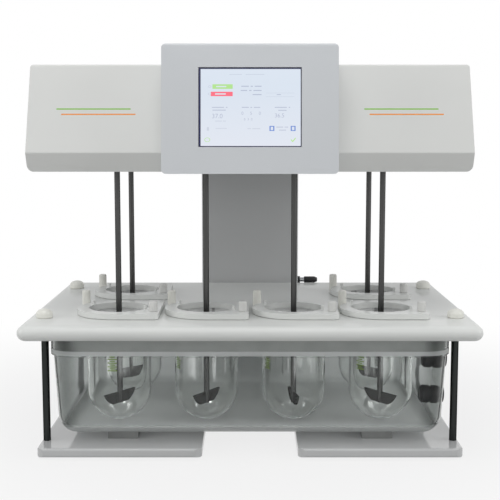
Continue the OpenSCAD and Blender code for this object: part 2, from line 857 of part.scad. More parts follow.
// Corners of the head's side view, with its lower edge drawn down by drop
function head_side(drop) = [
    [back(fascia_inset + bevel_run * (1 + drop / bevel_h)), head_low - drop, 0],
    [back(wide_back), head_low - drop, 0],
    [back(wide_back), head_top, head_back_r],
    [back(fascia_inset + fascia_lean), head_top, head_top_r],
    [back(fascia_inset), head_low + bevel_h, crease_r]];
function head_front(drop) = [
    [-head_w / 2, head_low - drop, head_low_r],
    [head_w / 2, head_low - drop, head_low_r],
    [head_w / 2, head_top, head_top_r],
    [-head_w / 2, head_top, head_top_r]];
function neck_side(drop) = [
    [back(wide_back - neck_overlap), head_low - drop, 0],
    [back(neck_back), head_low - drop, 0],
    [back(neck_back), head_low + neck_h, neck_corner_r],
    [back(wide_back - neck_overlap), head_low + neck_h, 0]];
function neck_front(drop) =
    box_corners(-neck_w / 2, head_low - drop, neck_w / 2, head_low + neck_h, head_low_r);

// Solid form of the head, drawn in by a wall and open below when drop is positive
module head_form(wall, drop) {
    intersection() {
        along_x(head_w) polygon(rounded(inset(head_side(drop), wall)));
        along_y(back(0), back(machine_d)) polygon(rounded(inset(head_front(drop), wall)));
    }
    intersection() {
        along_x(neck_w) polygon(rounded(inset(neck_side(drop), wall)));
        along_y(back(0), back(machine_d)) polygon(rounded(inset(neck_front(drop), wall)));
    }
}

module head_cover() {
    color(pale_grey) difference() {
        head_form(0, 0);
        head_form(shell_t, 3 * shell_t);
        for (side = [-1, 1], k = [0 : vent_count - 1])
            translate([
                side * (neck_w / 2 + vent_first + vent_pitch * k),
                back(wide_back),
                head_low + vent_rise]) cube([vent[0], 6 * shell_t, vent[1]], center = true);
        translate([0, back(fascia_inset + fascia_lean / 2), head_low + bevel_h + fascia_h / 2])
            cube(cable_hole, center = true);
    }
}

module head_tray() {
    in_x = head_w / 2 - shell_t;
    neck_x = neck_w / 2 - shell_t;
    y0 = back(fascia_inset + bevel_run) + shell_t + tray_gap;
    y1 = back(wide_back) - shell_t;
    neck_y0 = y1 - tray_lap;
    neck_y1 = back(neck_back) - shell_t;
    color(bright_steel) difference() {
        union() {
            intersection() {
                union() {
                    translate([-in_x, y0, head_low]) cube([2 * in_x, y1 - y0, tray_t]);
                    translate([-neck_x, neck_y0, head_low]) cube([2 * neck_x, neck_y1 - neck_y0, tray_t]);
                }
                head_form(0, 0);
            }
            for (i = [0 : 5])
                at_station(i) translate([0, 0, tray_top - over]) cylinder(d = boss_d, h = boss_h + over);
            for (side = [-1, 1], end = [-1, 1])
                translate([
                    side * (board[0] / 2 - standoff_inset),
                    board_y + end * (board[1] / 2 - standoff_inset),
                    tray_top - over]) cylinder(d = standoff_d, h = standoff_h + over);
            translate([idler[0], idler[1], tray_top - over]) {
                cylinder(r = idler_pin_d / 2 + idler_boss_over, h = pulley_low - tray_top + over);
                cylinder(d = idler_pin_d, h = pulley_top - tray_top + idler_pin_rise);
            }
        }
        for (i = [0 : 5]) at_station(i) {
            translate([0, 0, head_low - over]) cylinder(d = bearing_d, h = bearing_h + bearing_rise + over);
            translate([0, 0, head_low])
                cylinder(r = bearing_d / 2 - bearing_step, h = tray_t + boss_h + over);
            translate([0, 0, boss_top - bearing_h]) cylinder(d = bearing_d, h = bearing_h + over);
        }
    }
}

// Corners of the display box's side view, with its front moved back and its rear moved on
function display_side(front, rear) =
    let (top = display_low + display_h, seat = back(fascia_inset + rear))
    [
        [back(display_inset + front), display_low, 0],
        [seat + bevel_run, display_low, 0],
        [seat + bevel_run, head_low, 0],
        [seat, head_low + bevel_h, 0],
        [seat + fascia_lean, head_top, 0],
        [back(display_inset + display_d), head_top, 0],
        [back(display_inset + display_d - display_back_lean), top, display_top_r],
        [back(display_inset + front) + display_h * tan(display_tilt), top, display_lip_r]];

// Places children on the display's sloped front: X across, Z up the face, +Y into the box
module on_display() {
    translate([0, back(display_inset), display_low]) rotate([-display_tilt, 0, 0]) children();
}

// Block behind the display's face, from depth y0 to y1
module screen_block(w, h, y0, y1) {
    on_display() translate([-w / 2, y0, screen_mid - h / 2]) cube([w, y1 - y0, h]);
}

module display_housing() {
    x = display_w / 2;
    face = box_corners(-x, display_low, x, display_low + display_h, display_corner_r);
    cavity = inset(display_side(screen_wall - display_wall, display_floor), display_wall);
    color(pale_grey) difference() {
        intersection() {
            along_x(display_w) polygon(rounded(display_side(0, 0)));
            along_y(back(-over), back(machine_d)) polygon(rounded(face));
        }
        intersection() {
            along_x(display_w) polygon(rounded(cavity));
            along_y(back(-over), back(machine_d)) polygon(rounded(inset(face, display_wall)));
        }
        screen_block(screen_w + 2 * loose_gap, screen_h + 2 * loose_gap, -over, screen_sink + glass_t);
        screen_block(
            screen_w - 2 * screen_ledge,
            screen_h - 2 * screen_ledge,
            -over,
            screen_wall + screen_back_gap);
    }
}

module display_glass() {
    color([0.75, 0.86, 0.92]) screen_block(screen_w, screen_h, screen_sink, screen_sink + glass_t);
}

module display_module() {
    color(black)
        screen_block(screen_w + screen_wall, screen_h + screen_wall, screen_wall, screen_wall + module_t);
}

module column_cover() {
    x = column_w / 2;
    y0 = back(column_front);
    y1 = back(column_back);
    r = column_corner_r;
    color(pale_grey) difference() {
        union() {
            translate([0, 0, base_top]) linear_extrude(column_top - base_top)
                polygon(rounded([[-x, y0, r], [x, y0, r], [x, y1, 0], [-x, y1, 0]]));
            translate([-x - column_foot, y0 - column_toe, base_top])
                cube([2 * (x + column_foot), y1 - y0 + column_toe, column_wall]);
        }
        translate([0, 0, base_top - over]) linear_extrude(column_top - base_top + 2 * over) polygon(rounded([
            [-x + column_wall, y0 + column_wall, r - column_wall],
            [x - column_wall, y0 + column_wall, r - column_wall],
            [x - column_wall, y1 + over, 0],
            [-x + column_wall, y1 + over, 0]]));
        at_plug() cylinder(d = plug_stem_d + 2 * loose_gap, h = 4 * column_wall, center = true);
    }
}

// Places children on the column's right side, with their +Z pointing out
module at_plug() {
    translate([column_w / 2, back(column_front + plug_t), plug_z]) rotate([0, 90, 0]) children();
}

module sensor_plug() {
    root = -column_wall - plug_stem_over;
    color(black) at_plug() rotate_extrude()
        polygon(concat([[0, root], [plug_stem_d / 2, root], [plug_stem_d / 2, 0]], plug_outline));
}

module column_back_panel() {
    x = column_w / 2 - column_wall;
    y = back(column_back) - column_wall;
    drawn_in = 2 * (socket_rim[0] - loose_gap);
    color(pale_grey) difference() {
        translate([-x, y, base_top]) cube([2 * x, column_wall, column_top - base_top]);
        translate([0, back(column_back), socket_z])
            cube([socket_size[0] - drawn_in, 4 * column_wall, socket_size[1] - drawn_in], center = true);
    }
}

// Inlet and switch frame behind the column, with three flat contacts
module power_inlet() {
    w = socket_size[0];
    h = socket_size[1];
    rim = socket_rim[0];
    left = recess_x - recess[0] / 2;
    right = recess_x + recess[0] / 2;
    low = -recess[1] / 2;
    high = recess[1] / 2;
    root = -socket_depth + contact_root;
    front = socket_rim[1] + over;
    color(black) translate([0, back(column_back), socket_z]) {
        difference() {
            union() {
                translate([-w / 2, 0, -h / 2]) cube([w, socket_rim[1], h]);
                translate([-w / 2 + rim, -socket_depth, -h / 2 + rim])
                    cube([w - 2 * rim, socket_depth + over, h - 2 * rim]);
            }
            along_y(-socket_depth + socket_floor, front) polygon(rounded([
                [left, low, recess_r],
                [right, low, recess_r],
                [right, high - recess_corner, 0],
                [right - recess_corner, high, 0],
                [left + recess_corner, high, 0],
                [left, high - recess_corner, 0]]));
            translate([rocker_x - rocker[0] / 2 - loose_gap, root, -rocker[1] / 2 - rocker_slot_over])
                cube([rocker[0] + 2 * loose_gap, front - root, rocker[1] + 2 * rocker_slot_over]);
            translate([rocker_x, -rocker_axis_in, 0]) rotate([0, 90, 0])
                cylinder(
                    d = rocker_pin_d + 2 * run_gap,
                    h = rocker[0] + 2 * (rocker_pin_over + over),
                    center = true);
        }
        for (c = contacts)
            translate([recess_x + c[0] - contact[0] / 2, root, c[1] - contact[2] / 2]) cube(contact);
    }
}

module power_switch() {
    h = rocker[1] / 2;
    color(black) translate([rocker_x, back(column_back) - rocker_axis_in, socket_z]) {
        rotate([rocker_turn, 0, 0]) along_x(rocker[0]) polygon([
            [-rocker_root, -rocker_root_h],
            [rocker_shoulder, -h],
            [rocker_tip, -h],
            [rocker_waist, 0],
            [rocker_tip, h],
            [rocker_shoulder, h],
            [-rocker_root, rocker_root_h]]);
        rotate([0, 90, 0]) cylinder(d = rocker_pin_d, h = rocker[0] + 2 * rocker_pin_over, center = true);
    }
}

module slide_pads() {
    t = pad_t - pad_gap;
    x = mast_w / 2 + pad_gap + t / 2;
    y = mast_d / 2 + pad_gap + t / 2;
    color(white) for (z = pad_levels, side = [-1, 1]) translate([0, back(column_mid), z]) {
        translate([side * x - t / 2, -side_pad_w / 2, 0]) cube([t, side_pad_w, pad_h]);
        translate([-front_pad_w / 2, side * y - t / 2, 0]) cube([front_pad_w, t, pad_h]);
    }
}

module mast() {
    outer = box_corners(-mast_w / 2, -mast_d / 2, mast_w / 2, mast_d / 2, mast_corner_r);
    color(bright_steel) translate([0, back(column_mid), head_low - mast_h]) difference() {
        linear_extrude(mast_h) polygon(rounded(outer));
        translate([0, 0, -over]) linear_extrude(mast_h + 2 * over) polygon(rounded(inset(outer, mast_wall)));
    }
}

module lift_actuator() {
    bore = rod_d / 2 + run_gap;
    floor_z = head_low - rod_h - rod_floor_gap;
    foot_r = actuator_foot[0] / 2;
    foot_top = base_top + actuator_foot[1];
    color(dark_steel) translate([0, back(column_mid), 0]) rotate_extrude() polygon([
        [0, base_top],
        [foot_r, base_top],
        [foot_r, foot_top],
        [actuator_d / 2, foot_top],
        [actuator_d / 2, actuator_top],
        [bore, actuator_top],
        [bore, floor_z],
        [0, floor_z]]);
}

module actuator_rod() {
    color(bright_steel) translate([0, back(column_mid), head_low - rod_h]) cylinder(d = rod_d, h = rod_h);
}

base_frame();
rubber_feet();
support_posts();
post_knobs();
bath_tub();
bath_pads();
bath_fittings();
bath_frame();
vessel_plate();
locating_pegs();
for (i = [0 : 5]) {
    vessel(i);
    collar(i);
    collar_knob(i);
    stirrer(i);
    pulley(i);
}
spindle_bearings();
drive_motor();
drive_pulley();
idler_roller();
drive_belt();
control_board();
head_cover();
head_tray();
display_housing();
display_glass();
display_module();
column_cover();
column_back_panel();
sensor_plug();
power_inlet();
power_switch();
slide_pads();
mast();
lift_actuator();
actuator_rod();
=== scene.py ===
"""Dresses a six-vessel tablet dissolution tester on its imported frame."""
import json
import math

import bmesh
import bpy
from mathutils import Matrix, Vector

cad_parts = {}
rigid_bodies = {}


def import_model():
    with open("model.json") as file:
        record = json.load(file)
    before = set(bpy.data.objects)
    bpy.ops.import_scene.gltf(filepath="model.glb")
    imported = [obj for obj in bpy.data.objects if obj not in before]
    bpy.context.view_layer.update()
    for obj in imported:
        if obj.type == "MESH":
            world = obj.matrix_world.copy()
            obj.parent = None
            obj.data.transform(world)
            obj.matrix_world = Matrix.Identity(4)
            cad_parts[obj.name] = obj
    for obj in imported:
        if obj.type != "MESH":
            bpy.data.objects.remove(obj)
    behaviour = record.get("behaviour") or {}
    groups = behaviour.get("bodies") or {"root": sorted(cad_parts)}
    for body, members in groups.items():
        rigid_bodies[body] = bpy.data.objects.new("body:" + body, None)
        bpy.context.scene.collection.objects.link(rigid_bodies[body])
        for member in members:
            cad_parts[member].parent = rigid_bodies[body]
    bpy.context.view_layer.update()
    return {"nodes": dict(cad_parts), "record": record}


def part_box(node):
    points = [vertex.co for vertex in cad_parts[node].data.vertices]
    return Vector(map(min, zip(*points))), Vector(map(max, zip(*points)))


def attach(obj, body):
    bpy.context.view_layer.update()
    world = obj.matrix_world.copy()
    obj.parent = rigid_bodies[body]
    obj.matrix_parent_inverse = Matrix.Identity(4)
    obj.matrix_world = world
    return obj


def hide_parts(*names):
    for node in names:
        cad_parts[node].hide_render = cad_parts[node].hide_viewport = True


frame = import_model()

bl_info = {
    "name": "Dissolution tester dressing",
    "version": (1, 0, 0),
    "blender": (4, 5, 0),
    "location": "View3D > Sidebar > Tester",
    "description": "Finishes, screen page, graduations and screws of a tablet dissolution tester",
    "category": "Object",
}

STATIONS = range(1, 7)
SIDES = (-1, 1)
# Corners of the imported triangles closer than this are one corner, in metres
MERGE = 2e-6
# Triangles that meet at less than this angle are one flat face
FLAT = math.radians(0.4)


def length(name, description, default):
    """A size in metres that a user may change."""
    return bpy.props.FloatProperty(
        name=name, description=description, default=default, min=0.0, unit="LENGTH", precision=5
    )


def tone(name, description, default):
    """A linear colour that a user may change."""
    return bpy.props.FloatVectorProperty(
        name=name, description=description, default=default, size=3, min=0.0, max=1.0, subtype="COLOR"
    )


class TesterSizes(bpy.types.PropertyGroup):
    """Sizes of what is added to the frame."""

    sheet_edge: length("Sheet edge", "Rounding of the folded edges of the covers", 0.0009)
    resin_edge: length("Resin edge", "Rounding of the milled edges of collars and plate holes", 0.0007)
    small_edge: length("Small edge", "Rounding of the edges of small mouldings", 0.0004)
    rim_edge: length("Rim edge", "Fire-polished rounding of the vessels' flanges", 0.0011)
    page_side: length("Page side", "Dark margin beside the lit page on the left", 0.0032)
    page_top: length("Page top", "Dark margin above the lit page", 0.0024)
    page_thin: length("Page thin margin", "Dark margin on the page's right and lower sides", 0.0012)
    layer: length("Layer", "Thickness of one printed or lit layer", 0.00006)
    tick_width: length("Tick width", "Width of a graduation tick round the vessel", 0.016)
    tick_height: length("Tick height", "Height of a graduation tick", 0.0016)
    tick_pitch: length("Tick pitch", "Distance between graduation ticks", 0.0064)
    tick_level: length("Tick level", "Height of the lowest graduation tick above the bench", 0.137)
    screw_radius: length("Screw radius", "Radius of a panel screw's head", 0.0032)
    screw_height: length("Screw height", "Height of a panel screw's head", 0.002)
    ground_rise: length("Ground rise", "Start of the ground glass above the plate's underside", 0.009)
    # Painted highlight: the milky band at the ledge stands in for the bright edge of the clear step
    ledge_height: length("Ledge height", "Height of the milky ledge under the locating frame", 0.006)
    ring_near: length("Ring near", "Distance from the plug's tip to the near side of its steel ring", 0.0349)
    ring_far: length("Ring far", "Distance from the plug's tip to the far side of its steel ring", 0.0268)
    stripe_width: length("Stripe width", "Width of the coloured lines on the wings", 0.0022)
    stripe_length: length("Stripe length", "Length of the coloured lines on the wings", 0.118)
    tick_count: bpy.props.IntProperty(
        name="Tick count", description="Number of graduation ticks on a vessel", default=5, min=1, max=12
    )
    screen_tilt: bpy.props.FloatProperty(
        name="Screen tilt",
        description="Backward tilt of the screen",
        default=math.radians(6.7),
        subtype="ANGLE",
    )


class TesterColours(bpy.types.PropertyGroup):
    """Colours of the finishes."""

    cover: tone("Cover paint", "Powder coat on the head", (0.685, 0.69, 0.67))
    box: tone("Box paint", "Powder coat on the display box", (0.63, 0.65, 0.67))
    # Painted shade in part: darker than the head's paint, to stand in for the head's shade on the column
    column: tone("Column paint", "Powder coat on the column", (0.54, 0.545, 0.545))
    resin: tone("White resin", "Plate, collars and slide pads", (0.735, 0.745, 0.725))
    # Painted shade in part: greyer than the pegs' nylon, to stand in for the head's shade on the collar knobs
    knob: tone("Knob white", "Clamp knobs on the collars", (0.66, 0.66, 0.64))
    nylon: tone("Cream nylon", "Pegs and the knobs on the posts", (0.79, 0.785, 0.73))
    base: tone("Base resin", "Base under the bath", (0.56, 0.565, 0.565))
    # Painted shade in part: a frame of white plastic given a grey colour, standing in for the shade under the
    # plate
    frame: tone("Frame grey", "Locating frame in the bath", (0.42, 0.43, 0.42))
    shaft: tone("Dark steel", "Stirrers and the lift's barrel", (0.075, 0.075, 0.074))
    post: tone("Black steel", "Support posts", (0.031, 0.034, 0.033))
    alloy: tone("Bright alloy", "Tray, pulleys, bearings and mast", (0.62, 0.63, 0.65))
    vessel: tone("Vessel glass", "Tint of the vessels", (0.98, 0.987, 0.98))
    tub: tone("Tub plastic", "Tint of the tub's clear front", (0.93, 0.945, 0.94))
    smoke: tone("Tub smoke", "Grey tint of the tub's ends and lower front edge", (0.49, 0.51, 0.50))
    # The milky ledge is a painted highlight of the clear step's bright edge
    haze: tone("Tub haze", "Milky grey of the tub's rear wall, floor and ledge", (0.68, 0.70, 0.695))
    # Painted shade: the pads are given the grey of the shade under the tub, so that they don't stand out
    pad: tone("Pad grey", "Pads under the tub", (0.24, 0.245, 0.24))
    black: tone("Black plastic", "Nozzles, plug, inlet, switch and motor", (0.018, 0.018, 0.02))
    rubber: tone("Black rubber", "Feet and belt", (0.022, 0.022, 0.022))
    page: tone("Lit page", "Ground of the screen's page", (0.655, 0.725, 0.82))
    bezel: tone("Bezel", "Dark glass round the lit page", (0.022, 0.024, 0.095))
    go: tone("Green key", "Start key and marks on the page", (0.41, 0.73, 0.24))
    halt: tone("Red key", "Stop key on the page", (0.93, 0.13, 0.19))
    blue: tone("Blue key", "Square keys on the page", (0.13, 0.24, 0.62))
    text: tone("Page text", "Lines of text and numbers on the page", (0.42, 0.47, 0.60))
    leaf: tone("Green line", "Green line on the wings", (0.23, 0.52, 0.05))
    amber: tone("Orange line", "Orange line on the wings", (0.86, 0.30, 0.03))
    print_green: tone("Green print", "Graduations on the vessels", (0.20, 0.33, 0.02))
    screw: tone("Screw steel", "Panel screws and the plug's ring", (0.48, 0.49, 0.50))
    board: tone("Board green", "Control board", (0.02, 0.11, 0.05))


def settings(context):
    """The scene's sizes and colours."""
    return context.scene.tester_sizes, context.scene.tester_colours


# Finishes


class Graph:
    """A node tree under construction."""

    def __init__(self, tree):
        self.tree = tree

    def node(self, kind, **options):
        """A new node with the given options."""
        made = self.tree.nodes.new(kind)
        for key, value in options.items():
            setattr(made, key, value)
        return made

    def join(self, source, target):
        """Link from an output to an input."""
        self.tree.links.new(source, target)

    def feed(self, kind, inputs, **options):
        """First output of a new node, whose named inputs are sockets or values."""
        made = self.node(kind, **options)
        for name, value in inputs.items():
            if isinstance(value, bpy.types.NodeSocket):
                self.join(value, made.inputs[name])
            else:
                made.inputs[name].default_value = value
        return made.outputs[0]

    def mixed(self, factor, first, second):
        """Mix of two shaders."""
        made = self.node("ShaderNodeMixShader")
        for place, value in zip(made.inputs, (factor, first, second)):
            self.join(value, place)
        return made.outputs[0]

    def calc(self, kind, first, *others):
        """Result of a Math node on sockets or numbers, with a further node for each value past the second."""
        for other in others or (None,):
            made = self.node("ShaderNodeMath", operation=kind)
            for place, value in zip(made.inputs, (first, other)):
                if isinstance(value, (int, float)):
                    place.default_value = value
                elif value is not None:
                    self.join(value, place)
            first = made.outputs[0]
        return first


class Finish(Graph):
    """A procedural material under construction, read from Object coordinates."""

    def __init__(self, name):
        self.material = bpy.data.materials.new(name)
        self.material.use_nodes = True
        super().__init__(self.material.node_tree)
        self.shader = self.tree.nodes["Principled BSDF"]

    def drive(self, socket, value):
        """Link from an output to one of the shader's sockets."""
        self.join(value, self.shader.inputs[socket])

    def place(self, scale=(1, 1, 1)):
        """Object coordinates, scaled."""
        here = self.node("ShaderNodeTexCoord").outputs["Object"]
        return self.feed("ShaderNodeMapping", {"Vector": here, "Scale": scale})

    def axes(self):
        """X, Y and Z of the Object coordinates."""
        made = self.node("ShaderNodeSeparateXYZ")
        self.join(self.place(), made.inputs["Vector"])
        return tuple(made.outputs)

    def noise(self, scale, detail=2.0, stretch=(1, 1, 1)):
        """Noise with so many swells to a metre, which may be stretched."""
        here = self.place(stretch)
        return self.feed("ShaderNodeTexNoise", {"Vector": here, "Scale": scale, "Detail": detail})

    def span(self, value, begin, full, low=0.0, high=1.0, kind="LINEAR"):
        """One stretch of a value, mapped onto another."""
        ends = {"From Min": begin, "From Max": full, "To Min": low, "To Max": high}
        return self.feed("ShaderNodeMapRange", {"Value": value, **ends}, interpolation_type=kind)

    def blend(self, factor, stops):
        """Colour ramp through stops of (place, colour)."""
        ramp = self.node("ShaderNodeValToRGB")
        band = ramp.color_ramp
        while len(band.elements) < len(stops):
            band.elements.new(0.5)
        for element, (place, colour) in zip(band.elements, stops):
            element.position = place
            element.color = (*colour, 1.0)
        self.join(factor, ramp.inputs["Fac"])
        return ramp.outputs["Color"]

    def drift(self, factor, colour, swing):
        """Base colour that drifts a little lighter and darker."""
        low = [c * (1 - swing) for c in colour]
        high = [min(c * (1 + swing), 1.0) for c in colour]
        self.drive("Base Color", self.blend(factor, [(0.3, low), (0.7, high)]))

    def gloss(self, factor, low, high):
        """Roughness that swings between two values."""
        self.drive("Roughness", self.span(factor, 0.3, 0.7, low, high))

    def relief(self, height, strength, distance):
        """Bumps up to a distance in metres."""
        bump = self.feed("ShaderNodeBump", {"Height": height, "Strength": strength, "Distance": distance})
        self.drive("Normal", bump)

    def set(self, **values):
        """The material, once the shader's own sockets have these values."""
        for key, value in values.items():
            self.shader.inputs[key.replace("_", " ")].default_value = value
        return self.material


def powder_coat(name, colour):
    """Baked paint on sheet metal, with a fine orange-peel skin."""
    finish = Finish(name)
    finish.drift(finish.noise(5.0), colour, swing=0.018)
    finish.gloss(finish.noise(60.0), 0.34, 0.42)
    finish.relief(finish.noise(900.0, 1.0), strength=0.10, distance=0.0002)
    return finish.set(Specular_IOR_Level=0.45)


def polished_resin(name, colour, shine=0.38):
    """Milled and polished resin, with faint cloudiness under its shine."""
    finish = Finish(name)
    finish.drift(finish.noise(9.0), colour, swing=0.02)
    finish.gloss(finish.noise(35.0), 0.25, 0.35)
    finish.relief(finish.noise(26.0, 1.0), strength=0.05, distance=0.0006)
    return finish.set(Specular_IOR_Level=0.0, Coat_Weight=shine, Coat_Roughness=0.07)


def drawn_steel(name, colour, low, high, along=(700.0, 700.0, 9.0)):
    """Bare metal with fine lines along its length and a roughness from low to high."""
    finish = Finish(name)
    lines = finish.noise(1.0, 3.0, along)
    finish.drift(lines, colour, swing=0.16)
    finish.gloss(lines, low, high)
    finish.relief(lines, strength=0.12, distance=0.0001)
    return finish.set(Metallic=1.0, Specular_Tint=(0.1, 0.1, 0.1, 1.0))


def vessel_glass(name, tint, low, foot, ground):
    """Drawn glass: upright streaks above its round foot, a thick shiny bottom and a flange ground matt."""
    finish = Finish(name)
    height = finish.axes()[2]
    slant = finish.node("ShaderNodeLayerWeight").outputs["Facing"]
    streak_fade, grinding_fade = 0.03, 0.002
    bottom_begin, bottom_full = 0.036, 0.012

    # Darker in the thin streaks, and painted shade in a band just inside the outline, set by the viewing
    # angle, which stands in for the dark line that the thick wall refracts
    upright = finish.span(height, foot, foot + streak_fade)
    streaks = finish.calc("SUBTRACT", finish.noise(1.0, 1.0, (85.0, 85.0, 1.5)), 0.5)
    streaks = finish.calc("MULTIPLY", streaks, upright)
    # inner is painted shade: a dark band inside the outline, by viewing angle
    inner = finish.calc("MULTIPLY", finish.span(slant, 0.34, 0.42), finish.span(slant, 0.56, 0.48), upright)
    dark = finish.calc("MAXIMUM", finish.span(streaks, -0.13, -0.18), inner)
    shade = [0.5 * c for c in tint]
    finish.drive("Base Color", finish.blend(dark, [(0.0, tint), (1.0, shade)]))

    # Matt on the flange
    matt = finish.span(height, ground - grinding_fade, ground, kind="SMOOTHSTEP")
    finish.drive("Transmission Weight", finish.span(matt, 0.0, 1.0, 1.0, 0.35))
    finish.drive("Roughness", finish.span(matt, 0.0, 1.0, 0.01, 0.4))

    # Shiny in the thick streaks, in patches of the bottom and along the outline
    bottom = finish.span(height, low + bottom_begin, low + bottom_full, kind="SMOOTHSTEP")
    patches = finish.span(finish.noise(38.0, 1.0), 0.4, 0.6, 0.1, 1.0)
    pool = finish.calc("MULTIPLY", bottom, patches)
    edge = finish.span(slant, 0.5, 0.9, kind="SMOOTHSTEP")
    finish.drive("Coat Weight", finish.calc("MAXIMUM", finish.span(streaks, 0.09, 0.16), pool, edge))
    finish.relief(finish.noise(14.0, 1.0), strength=0.05, distance=0.002)
    return finish.set(IOR=1.5, Specular_Tint=(0.4, 0.4, 0.4, 1.0), Coat_Roughness=0.03, Coat_IOR=2.6)


def hazy_tub(name, clear, smoky, milky, low, high, ledge, front):
    """Tub plastic: clear in front, smoky at the ends and the lower front edge, milky elsewhere; the milky
    band at the ledge is a painted highlight that stands in for the bright edge of the clear step.
    """
    finish = Finish(name)
    x, y, z = finish.axes()
    cloud = finish.calc("MULTIPLY", finish.noise(9.0), 0.01)
    painted_ledge_highlight, rear_haze, least_clear = 0.55, 0.48, 0.08

    def share(axis, edge, begin, full):
        """0 to 1 between two distances from an edge."""
        return finish.span(axis, edge + begin, edge + full, kind="SMOOTHSTEP")

    end = share(finish.calc("ADD", finish.calc("ABSOLUTE", x), cloud), high.x, -0.05, -0.02)
    rear = share(finish.calc("ADD", y, cloud), high.y, -0.07, -0.03)
    floor = share(z, low.z, 0.02, 0.006)
    lip = finish.calc("MULTIPLY", floor, share(y, front, 0.02, 0.004))
    # Painted highlight: a milky band at the ledge stands in for the bright edge of the clear step
    over, under = share(z, ledge[0], -0.001, 0.0), share(z, ledge[1], 0.0015, 0.0005)
    solid = finish.calc("MAXIMUM", floor, finish.calc("MULTIPLY", over, under, painted_ledge_highlight))
    milk = finish.calc("SUBTRACT", finish.calc("MAXIMUM", rear, solid), lip)
    grey = finish.calc("MAXIMUM", end, lip)
    tint = finish.node("ShaderNodeMix", data_type="RGBA")
    finish.join(milk, tint.inputs["Factor"])
    finish.join(finish.blend(grey, [(0.0, clear), (1.0, smoky)]), tint.inputs["A"])
    tint.inputs["B"].default_value = (*milky, 1.0)
    finish.drive("Base Color", tint.outputs["Result"])
    dense = finish.calc("MAXIMUM", finish.calc("MULTIPLY", rear, rear_haze), solid)
    finish.drive("Transmission Weight", finish.span(dense, 0.0, 1.0, 1.0, least_clear))
    finish.drive("Roughness", finish.span(milk, 0.0, 1.0, 0.01, 0.6))
    finish.relief(finish.noise(14.0, 1.0), strength=0.03, distance=0.002)
    return finish.set(IOR=1.49, Specular_Tint=(0.2, 0.2, 0.2, 1.0))


def moulding(name, colour, low, high, grain=1400.0):
    """Moulded plastic or rubber with a fine matt grain and a roughness from low to high."""
    finish = Finish(name)
    finish.drift(finish.noise(30.0), colour, swing=0.10)
    finish.gloss(finish.noise(120.0), low, high)
    finish.relief(finish.noise(grain, 1.0), strength=0.18, distance=0.0002)
    return finish.set(Specular_IOR_Level=0.4)


def lit_layer(name, colour, low, high):
    """A lit layer of the screen between two heights, a little brighter towards its foot."""
    finish = Finish(name)
    warm = [min(c * k, 1.0) for c, k in zip(colour, (1.10, 1.045, 1.02))]
    shade = finish.blend(finish.span(finish.axes()[2], low, high), [(0.0, warm), (0.75, colour)])
    finish.drive("Emission Color", shade)
    finish.gloss(finish.noise(90.0), 0.16, 0.22)
    return finish.set(Base_Color=(0.01, 0.01, 0.012, 1.0), Emission_Strength=1.0)


def ink(name, colour):
    """Screen-printed ink, thicker in places."""
    finish = Finish(name)
    finish.drift(finish.noise(420.0), colour, swing=0.08)
    finish.gloss(finish.noise(300.0), 0.35, 0.5)
    return finish.material


# Shapes


def body_of(node):
    """Name of the body that carries a node."""
    for body, members in frame["record"]["behaviour"]["bodies"].items():
        if node in members:
            return body
    raise RuntimeError(f"no body carries {node}")


def corners(node):
    """Places of a node's corners."""
    return [vertex.co for vertex in frame["nodes"][node].data.vertices]


def add_piece(name, mesh, body):
    """Puts a finished mesh into the scene on its body."""
    piece = bpy.data.objects.new(name, mesh)
    bpy.context.scene.collection.objects.link(piece)
    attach(piece, body)
    return piece


def evaluated_mesh(holder):
    """Plain mesh of an object with its modifiers applied. The object itself is removed."""
    bpy.context.view_layer.update()
    graph = bpy.context.evaluated_depsgraph_get()
    mesh = bpy.data.meshes.new_from_object(holder.evaluated_get(graph), depsgraph=graph)
    old = holder.data
    bpy.data.objects.remove(holder)
    bpy.data.batch_remove([old])
    return mesh


def merged_copy(node):
    """Copy of a node's mesh with its loose triangles joined into flat faces."""
    mesh = frame["nodes"][node].data.copy()
    if "custom_normal" in mesh.attributes:
        mesh.attributes.remove(mesh.attributes["custom_normal"])
    shape = bmesh.new()
    shape.from_mesh(mesh)
    bmesh.ops.remove_doubles(shape, verts=shape.verts, dist=MERGE)
    bmesh.ops.dissolve_limit(shape, angle_limit=FLAT, verts=shape.verts, edges=shape.edges)
    for face in shape.faces:
        face.material_index = 0
        face.smooth = True
    shape.to_mesh(mesh)
    shape.free()
    return mesh


def dress(node, material, edge=0.0, crease=32.0):
    """Stands a soft-edged copy in the place of a node."""
    mesh = merged_copy(node)
    mesh.materials.clear()
    mesh.materials.append(material)
    mesh.set_sharp_from_angle(angle=math.radians(crease))
    if edge > 0:
        holder = bpy.data.objects.new("holder", mesh)
        bpy.context.scene.collection.objects.link(holder)
        bevel = holder.modifiers.new("soft edge", "BEVEL")
        bevel.width = edge
        bevel.segments = 2
        bevel.limit_method = "ANGLE"
        bevel.angle_limit = math.radians(crease)
        bevel.harden_normals = True
        mesh = evaluated_mesh(holder)
    mesh.name = f"{node}_mesh"
    piece = add_piece(f"{node}_dressed", mesh, body_of(node))
    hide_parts(node)
    return piece


def repaint(material, *nodes):
    """Gives nodes that keep their own shape a better material."""
    for node in nodes:
        for place in frame["nodes"][node].material_slots:
            place.material = material


def widest_face(node, towards, least=0.95):
    """Lowest point and outward direction of a node's largest flat face that looks about a given way."""
    mesh = merged_copy(node)
    facing = [f for f in mesh.polygons if f.normal.dot(towards) > least]
    if not facing:
        raise RuntimeError(f"{node} has no face that looks that way")
    face = max(facing, key=lambda f: f.area)
    foot = min((mesh.vertices[k].co.copy() for k in face.vertices), key=lambda p: p.z)
    out = face.normal.copy()
    bpy.data.meshes.remove(mesh)
    return foot, out


